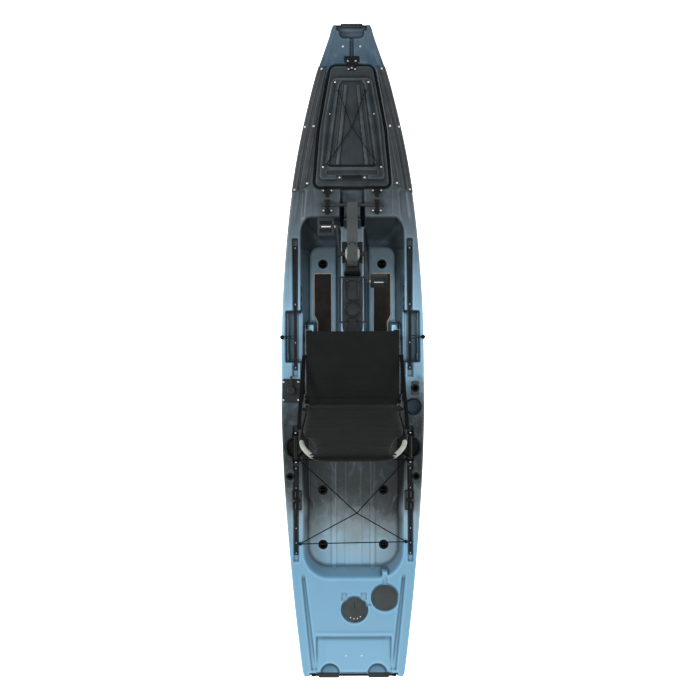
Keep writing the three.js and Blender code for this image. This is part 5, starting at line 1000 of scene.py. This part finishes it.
# Twist lids: rim ring, pointer line and four generic dots
onRound = heightOver("round_lid_centre", "round_lid_side")
for lidName, (x, y, radius) in lidSeats.items():
    ring = smoothPath(circleAt(x, y, onRound(x + 30, y) + 0.4, radius - 5, 24), 2, closed=True)
    addPiece(f"rimLid{lidName.title()}", [swept(ring, barOf(4, 3, 1), closed=True)], "disc", f"lid_{lidName}")
top = onRound(6, -1600)
addPiece("twistLidDots", [turned([(3.6, -1), (3.6, 0.6), (3.0, 1.0)], (x + 2, y, onRound(x, y)), 14)
                          for x, y in ((-21, -1670), (0, -1677), (22, -1675), (40, -1664))], "inlay", "lid_centre")
addPiece("twistLidPointer", [plate(boxPlan(3, -1612, 9, -1570, 1), top - 1, top + 1, 0.6)], "pod", "lid_centre")

# Console: raised ring round the dished seat, raised lines round its fields, two eyes behind it
onPod = heightOver("console_pod")
podTop = 252.4
podLines = (([(30, 322, 6), (42, 336, 8), (42, 436, 8), (30, 454, 6)], 7),
            ([(26, 214, 6), (40, 160, 8), (30, 90, 8)], 6),
            ([(58, 474, 8), (62, 420, 8), (62, 160, 10), (44, 74, 10)], 6))
podShapes = [swept(circleAt(0, 272, 258.6, 46), barOf(11, 7, 2.4), closed=True)]
for half, width in podLines:
    line = rounded(mirrored(half), 4)
    podShapes.append(swept(np.column_stack([line, [onPod(x * 0.98, y) + 1.2 for x, y in line]]),
                           barOf(width, 6, 2), closed=True))
addPiece("consoleRing", podShapes, "glossy")
addPiece("consoleEyes", [staple(side * 33, 198, [(8, 0, podTop - 1), (8, -2, podTop + 9), (0, -4, podTop + 13)],
                                ringOf(3, 10), steps=6) for side in (-1, 1)], "black")

# Drive: hub disc on the drum, bright collars where the pedals turn
drive = {"axleY": 612, "axleZ": 402, "hubY": 662, "pedalX": 164}
pedals = (("Left", -1, 782, 0), ("Right", 1, 442, 52))
hubTop = heightOver("gearbox", "drive_mast")(0, 664)
addPiece("drumHubDisc", [turned([(16, -3), (16, 1.0), (15, 1.8), (9, 1.8), (8, 1.0), (3.4, 1.0), (3.2, 0.4)],
                                (0, drive["hubY"], hubTop), 30)], "mast", "drive")
addPiece("drumHubRing", [swept(circleAt(0, drive["hubY"], hubTop + 0.2, 19.5, 40), barOf(3.4, 3, 1), closed=True)],
         "black", "drive")
addPiece("pedalCollars", [turned([(8.6, -5), (9.4, -4), (9.4, 4), (8.6, 5)], (side * 107, y, drive["axleZ"]), 22,
                                 alongX=True) for _, side, y, _ in pedals], "steel", "crank")
# Crank arms taper from the axle out to the pedal; a black boss covers each end of the axle
for sideName, side, farY, _ in pedals:
    arm = smoothPath([(side * x, drive["axleY"] + (farY - drive["axleY"]) * share, drive["axleZ"])
                      for x, share in ((79, 0), (83, 0.25), (92, 0.75), (97, 1))], 8)
    thick = np.interp(np.linspace(0, 1, len(arm)), [0, 0.06, 0.5, 0.94, 1], [0.9, 1.12, 0.86, 0.9, 0.6])
    bosses = (([(13, -10), (16, -8), (17, -4), (17, 6), (14, 10)], 78, drive["axleY"], 26),
              ([(10, -14), (12, -12), (12, 12), (10, 14)], 58, drive["axleY"], 24),
              ([(11, -7), (13, -5), (13, 5), (11, 7)], 99, farY, 22))
    addPiece(f"crankArm{sideName}", [swept(arm, ringOf(10.5, 16, 1.2), scale=thick)]
             + [turned(profile, (side * x, y, drive["axleZ"]), count, alongX=True)
                for profile, x, y, count in bosses],
             "arm", "crank")


def pedalCage(middle, tilt):
    # Platform of two toothed bars, two cheeks and a middle housing, then turned about its pin by tilt degrees
    bars = [mirrored([(52, 36, 5), (52, 56, 6)]), mirrored([(52, -56, 6), (52, -36, 5)])]
    shapes = [plate(rounded(bar, 4), -9.5, 9.5, 3) for bar in bars]
    shapes += [plate(boxPlan(x, -44, x + 15, 44, 2, 4), -9.5, 9.5, 3) for x in (-52, 37)]
    shapes.append(plate(boxPlan(-44, -14, 44, 14, 4, 4), -9.5, 10, 3.5))
    shapes += [turned([(3.2, 8), (3.2, 11.2), (2.2, 12)], (x, y, 0), 10) for x in (-42, -14, 14, 42)
               for y in (-46, 46)]
    strip = [plate(boxPlan(-29, -3.6, 29, 3.6, 1.6), 9, 11, 0.8)]
    turn = math.radians(tilt)
    spin = np.array([[1, 0, 0], [0, math.cos(turn), math.sin(turn)], [0, -math.sin(turn), math.cos(turn)]])
    return [[(points @ spin + middle, quads, caps) for points, quads, caps in group] for group in (shapes, strip)]


for sideName, side, y, tilt in pedals:
    cage, strip = pedalCage((side * drive["pedalX"], y, drive["axleZ"]), tilt)
    body = f"pedal_{sideName.lower()}"
    addPiece(f"pedalCage{sideName}", cage, "arm", body, replaced=[body])
    addPiece(f"pedalStrip{sideName}", strip, "inlay", body)
# Sliding brackets: ribs along the block and a knob outboard
ribPlans = ((328, -985, -875, 359), (338, -985, -875, 359), (362, -985, -948, 360), (362, -912, -875, 360))
for sideName, side in bothSides:
    addPiece(f"slideRibs{sideName}", [plate(boxPlan(side * x - 3, low, side * x + 3, high, 1.2), 350, top, 1.5)
                                      for x, low, high, top in ribPlans]
             + [turned([(9, -9), (11, -7), (11, 8), (8, 11)], (side * 380, -930, 356), 20),
                swept([(side * x, -930, 356) for x in (360, 372, 384)], ringOf(5, 12))],
             "disc", f"slide_{sideName.lower()}")
print("small fittings built")


# CAD fittings whose shape is right: copies with merged triangles and rounded edges
softNodes = (
    ("black", ["hatch_hinge"]), ("hull", pair("deck_bracket")), ("glossy", ["drive_dock"]), ("pod", ["console_pod"]),
    ("arm", ["steering_plate"]), ("disc", [*pair("rod_holder_rear"), "rod_holder_front"]),
    ("black", [*pair("hatch_latch"), *pair("bar_latch")]), ("mast", ["drive_mast", "gearbox"]),
    ("arm", pair("crank")), ("black", pair("slide_bracket")), ("arm", ["steering_lever"]),
    ("black", ["rudder_head", "rudder_blade"]), ("mast", ["drive_leg"]), ("rubber", ["hatch_strap"]))
bodyOf = {node: body for body, names in frame["record"]["behaviour"]["bodies"].items() for node in names}


easing = {"width": 1.1, "angle": 50, "segments": 2, "flat": 2}


def softened(node, finish):
    # A copy of a node's mesh in which faces flat within some degrees are one and sharp edges are rounded
    work = mergedCopy(nodes[node].data)
    bmesh.ops.dissolve_limit(work, angle_limit=math.radians(easing["flat"]), verts=work.verts, edges=work.edges)
    first, *rest = node.split("_")
    made = newObject(first + "".join(word.title() for word in rest) + "Eased", np.zeros((0, 3)), [], finish,
                     bodyOf[node])
    work.to_mesh(made.data)
    work.free()
    smoothFaces(made.data)
    made.data.polygons.foreach_set("material_index", np.zeros(len(made.data.polygons), int))
    edges = made.modifiers.new("edges", "BEVEL")
    edges.width = easing["width"] * mm
    edges.segments = easing["segments"]
    edges.limit_method = "ANGLE"
    edges.angle_limit = math.radians(easing["angle"])
    made.modifiers.new("shading", "WEIGHTED_NORMAL").keep_sharp = True
    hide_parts(node)


for finish, names in softNodes:
    for node in names:
        softened(node, finish)
print("fittings eased")


# Seat: two simulated pads, a dark fabric sheet in the gap between them that stands in for the shade there, corner
# grips, loops and side straps
seatLook = {"voxel": 0.006, "pressure": 4.0, "frames": 20, "panCap": 5.0, "backCap": 6.0, "lean": math.radians(40),
            "hingeY": -334, "hingeZ": 478, "length": 486, "coverHalf": 304, "frameBow": 316, "up": (0, 0.77, 0.64)}


def backPoint(points):
    # (x, s, n) of the leaning back to (x, y, z): s runs up the back, n stands off its frame
    x, s, n = np.asarray(points, float).T
    lean = seatLook["lean"]
    return np.column_stack([x, seatLook["hingeY"] - s * math.sin(lean) + n * math.cos(lean),
                            seatLook["hingeZ"] + s * math.cos(lean) + n * math.sin(lean)])


def meshPoints(mesh):
    # The points of a mesh in metres, one row for each
    flat = np.empty(len(mesh.vertices) * 3)
    mesh.vertices.foreach_get("co", flat)
    return flat.reshape(-1, 3)


def bakedMesh(made):
    # The mesh with its modifiers applied
    bpy.context.view_layer.update()
    return bpy.data.meshes.new_from_object(made.evaluated_get(bpy.context.evaluated_depsgraph_get()))


def cushion(name, outline, low, high, cap, place, finish, body, replaced):
    # A slab remeshed fine, swollen by cloth under pressure, held within cap mm, then creased and placed
    turns = np.radians([-90, -60, -30, 0, 30, 60, 90])
    middle, half = (low + high) / 2, (high - low) / 2
    rows = [np.column_stack([inset(outline, half * (1 - np.cos(turn)) * 0.8), np.full(len(outline),
                                                                                     middle + half * np.sin(turn))])
            for turn in turns]
    made = addPiece(name, [shell(np.stack(rows))], finish, body, None)
    remesh = made.modifiers.new("remesh", "REMESH")
    remesh.mode = "VOXEL"
    remesh.voxel_size = seatLook["voxel"]
    made.data = bakedMesh(made)
    made.modifiers.clear()
    start = meshPoints(made.data)
    cloth = made.modifiers.new("cloth", "CLOTH")
    cloth.settings.use_pressure = True
    cloth.settings.uniform_pressure_force = seatLook["pressure"]
    cloth.settings.effector_weights.gravity = 0
    cloth.point_cache.frame_start, cloth.point_cache.frame_end = 1, seatLook["frames"]
    for step in range(1, seatLook["frames"] + 1):
        bpy.context.scene.frame_set(step)
    swollen = meshPoints(bakedMesh(made))
    made.modifiers.clear()
    bpy.context.scene.frame_set(1)
    move = swollen - start
    length = np.linalg.norm(move, axis=1, keepdims=True)
    start = start + move * np.minimum(1, cap * mm / np.maximum(length, 1e-9))
    points = start / mm
    # Shallow folds across the fabric, each wandering a little from a straight line
    x, y = points[:, 0], points[:, 1]
    upper = ease((points[:, 2] - middle) / half)
    low, high = y.min(), y.max()
    for share, depth, width in ((0.12, 1.6, 7), (0.3, 0.9, 9), (0.47, 1.2, 8), (0.66, 0.8, 10), (0.85, 1.5, 7)):
        line = low + share * (high - low) + 5 * np.sin(x / 90 + share * 9)
        points[:, 2] -= depth * np.exp(-((y - line) / width) ** 2) * upper
    made.data.vertices.foreach_set("co", (place(points) * mm).ravel())
    made.data.materials.clear()
    made.data.materials.append(finishes[finish])
    smoothFaces(made.data)
    made.data.update()
    smooth = made.modifiers.new("smooth", "SUBSURF")
    smooth.levels = smooth.render_levels = 1
    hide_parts(replaced)
    return made


panOutline = rounded([(-270, -312, 12), (270, -312, 12), (270, 136, 10), (-270, 136, 10)], 8)
cushion("seatPanPad", panOutline, 407.5, 428, seatLook["panCap"], lambda points: points, "fabric", "hull", "seat_pan")
coverRight = [(0.925, 0.075), (0.95, 0.2), (0.98, 0.32), (1.01, 0.44), (1.02, 0.52), (1.005, 0.59), (0.965, 0.635),
              (0.885, 0.665), (0.83, 0.72), (0.79, 0.79), (0.762, 0.88), (0.752, 0.965), (0.73, 0.985)]
coverHalf = np.array(coverRight) * (seatLook["coverHalf"], seatLook["length"])
coverOutline = smoothPath(np.concatenate([coverHalf, coverHalf[::-1] * (-1, 1)]), 4, closed=True)
cushion("seatBackPad", inset(coverOutline, 3), 15, 42, seatLook["backCap"], backPoint, "fabric", "seat_back",
        "back_cover")
print("seat pads built")


railWrap = {"angles": (56, 92), "outer": 13.0, "inner": 11.2,
            "flap": ((-12, 12.4), (-31, 11.4), (-31, 8.6), (-12, 9.4))}
backTop = ((0.956, 0.74), (0.791, 0.9), (0.589, 0.965))
backSide = ((0.899, 0.0), (0.911, 0.2), (0.975, 0.42), (1, 0.58), (0.985, 0.645))
backCorner = ((0.985, 0.65), (0.956, 0.74), (0.88, 0.83), (0.791, 0.9), (0.735, 0.924))


def arcSleeve(side):
    # Crescent over part of a tube, seen along the boat, with a flap that leads inboard
    turn = np.radians(np.linspace(*railWrap["angles"], 9))
    out, back = [np.stack([side * radius * np.cos(run), radius * np.sin(run)], -1)
                 for radius, run in ((railWrap["outer"], turn), (railWrap["inner"], turn[::-1]))]
    return np.concatenate([out, np.array(railWrap["flap"]) * (side, 1), back])


def frameRun(side, corners, steps=6):
    # A smooth run along the back's tube, through (across, up) shares of its frame
    return smoothPath([(side * u * seatLook["frameBow"], v * seatLook["length"], 0) for u, v in corners], steps)


def seatStrips():
    # Fabric wrapped over the tubes, a dark sheet over the hinge gap that stands in for its shade, the corner grips,
    # loops and side straps
    # A dark fabric sheet closes the gap between pan and back, standing in for the shade that lies there
    gapSheetPath = smoothPath([(0, y, z) for y, z in ((-290, 426), (-316, 438), (-330, 464), (-338, 500), (-344, 532),
                                                  (-356, 552))], 7)
    flap = addPiece("seatGapShadeSheet", [swept(gapSheetPath, barOf(548, 6, 2.4), up=(0, 1, 1))], "fabric", None)
    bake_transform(flap)
    top = frameRun(1, [*backTop, (0, 0.97), *[(-u, v) for u, v in backTop[::-1]]], 12)[16:-16]
    wraps = [swept(backPoint(top), ringOf(13.4, 16), up=seatLook["up"])]
    wraps += [swept(backPoint(frameRun(side, backSide)), ringOf(12.9, 16), up=seatLook["up"]) for side in (-1, 1)]
    addPiece("backFrameWrap", wraps, "fabric", "seat_back")
    rails = [swept([(side * 284, y, 418) for y in np.linspace(-318, 137, 24)], arcSleeve(side))
             for side in (-1, 1)]
    addPiece("railWraps", rails, "fabric", "hull")
    for sideName, side in bothSides:
        grip = sleeved(backPoint(frameRun(side, backCorner)), ringOf(14.6, 16), 0.04, 0.85, seatLook["up"])
        addPiece(f"cornerGrip{sideName}", [grip], "grip", "seat_back")
        anchor = backPoint([(side * 329, 219, 6)])[0]
        strap = smoothPath([(side * 303, -18, 430), (side * 309, -120, 462), (side * 317, -250, 520),
                            (side * 326, -380, 590), tuple(anchor)], 8)
        webbing = addPiece(f"sideStrap{sideName}", [swept(strap, barOf(26, 2.6, 1), up=(side * 0.35, 0, 1))],
                           "webbing", None)
        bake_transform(webbing)
        loop = smoothPath([(side * 272, -337, 556), (side * 248, -339, 558), (side * 230, -348, 561),
                           (side * 240, -360, 564), (side * 272, -364, 565)], 6)
        addPiece(f"seatLoop{sideName}", [swept(loop, barOf(7, 3, 1))], "glossy", "seat_back")


seatStrips()
print("seat strips built")

# Tankwell cord: six taut runs between four hooks and the knot where they cross, sagging a little
wellHooks = [(-338, -677), (334, -677), (-336, -1206), (332, -1194)]
knot = (22, -1013)
tankCord = {"z": 334.5, "sag": 5.0, "radius": 3.4, "points": 26}
runs = [(wellHooks[0], knot), (wellHooks[1], knot), (knot, wellHooks[2]), (knot, wellHooks[3]),
        (wellHooks[0], wellHooks[1]), (wellHooks[2], wellHooks[3])]


def cordRun(start, end):
    # Straight from start to end in plan, with a parabola for its sag
    t = np.linspace(0, 1, tankCord["points"])[:, None]
    plan = np.array(start) * (1 - t) + np.array(end) * t
    return np.column_stack([plan, tankCord["z"] - tankCord["sag"] * 4 * (t * (1 - t))[:, 0]])


addPiece("tankwellCord", [swept(cordRun(start, end), ringOf(tankCord["radius"], 10)) for start, end in runs]
         + [turned([(2, -5), (5, -4), (6.5, 0), (5, 4), (2, 5)], (*knot, 333), 14)], "cord",
         replaced=["tankwell_bungee"])
addPiece("wellHooks", [swept(smoothPath([(x - 10, y, 326), (x - 6, y + 4, 334), (x + 2, y + 5, 340),
                                         (x + 8, y, 334), (x + 11, y - 5, 326)], 6),
                               ringOf(tankCord["radius"], 10), up=(0, 1, 0.3))
                       for x, y in wellHooks]
         + [turned([(11, -2), (11, 2), (9.5, 3.4), (4, 3.4)], (x, y, float(deckHeight(x, y))), 18)
            for x, y in wellHooks], "black")
print("hooks built")

# CAD nodes that stay: each takes a procedural finish
nodeFinish = {
    "track": pair("hatch_track") + pair("track_front") + pair("track_rear"),
    "cord": ["hatch_bungee", *pair("console_bungee"), *pair("paddle_keeper")], "tube": ["seat_frame", "back_frame"],
    "cup": ["cup_liner"], "black": ["bow_handle", "propeller", "crank_axle"], "glossy": pair("side_handle"),
    "arm": ["cross_bar"], "silver": pair("gearbox_cover"), "disc": ["round_lid_centre", "round_lid_side"],
}
for finish, names in nodeFinish.items():
    for name in names:
        for place in nodes[name].material_slots:
            place.material = finishes[finish]
print("finishes set")

# Floor and light: a white studio floor that glows a little, under a sky that is bright round the horizon
floorLook = {"half": 14, "glow": 1.4}
floorMaterial, add, floorTree, floorShader = newMaterial("studio floor, white, matt")
dust = add("TexNoise", {"Scale": 30.0, "Detail": 3.0})
fill(floorTree, floorShader, {"Base Color": rampNode(floorTree, dust, [(0.3, "f2f2f2"), (0.7, "f6f6f6")]),
                              "Roughness": 0.9, "Emission Color": (1, 1, 1, 1),
                              "Emission Strength": floorLook["glow"]})
floorMesh = bpy.data.meshes.new("floor")
floorMesh.from_pydata([(x * floorLook["half"], y * floorLook["half"], -0.001)
                       for x, y in ((-1, -1), (1, -1), (1, 1), (-1, 1))], [], [(0, 1, 2, 3)])
floorMesh.materials.append(floorMaterial)
floor = addObject("floor", floorMesh)

world = bpy.data.worlds.new("studio")
world.use_nodes = True
skyTree = world.node_tree
height = addNode(skyTree, "SeparateXYZ", [addNode(skyTree, "TexCoord").outputs["Generated"]]).outputs["Z"]
levels = [(0.0, 0.45), (0.3, 0.75), (0.55, 0.95), (0.8, 0.8), (0.95, 0.48), (1.0, 0.42)]
fill(skyTree, skyTree.nodes["Background"], {"Color": rampNode(skyTree, height, levels, "LINEAR")})
bpy.context.scene.world = world
lamps = {"left": ((-5.0, 1.2, 4.6), 2.0, 160), "right": ((5.2, -0.6, 4.0), 2.4, 90)}
for lampName, (place, size, power) in lamps.items():
    lampData = bpy.data.lights.new(lampName, "AREA")
    lampData.shape = "SQUARE"
    lampData.size = size
    lampData.energy = power
    lamp = addObject(lampName, lampData)
    lamp.location = place
    aim = np.array([0, 0, 0.2]) - np.array(place)
    lamp.rotation_euler = (math.acos(-aim[2] / np.linalg.norm(aim)), 0, math.atan2(-aim[0], aim[1]))
print("light set")
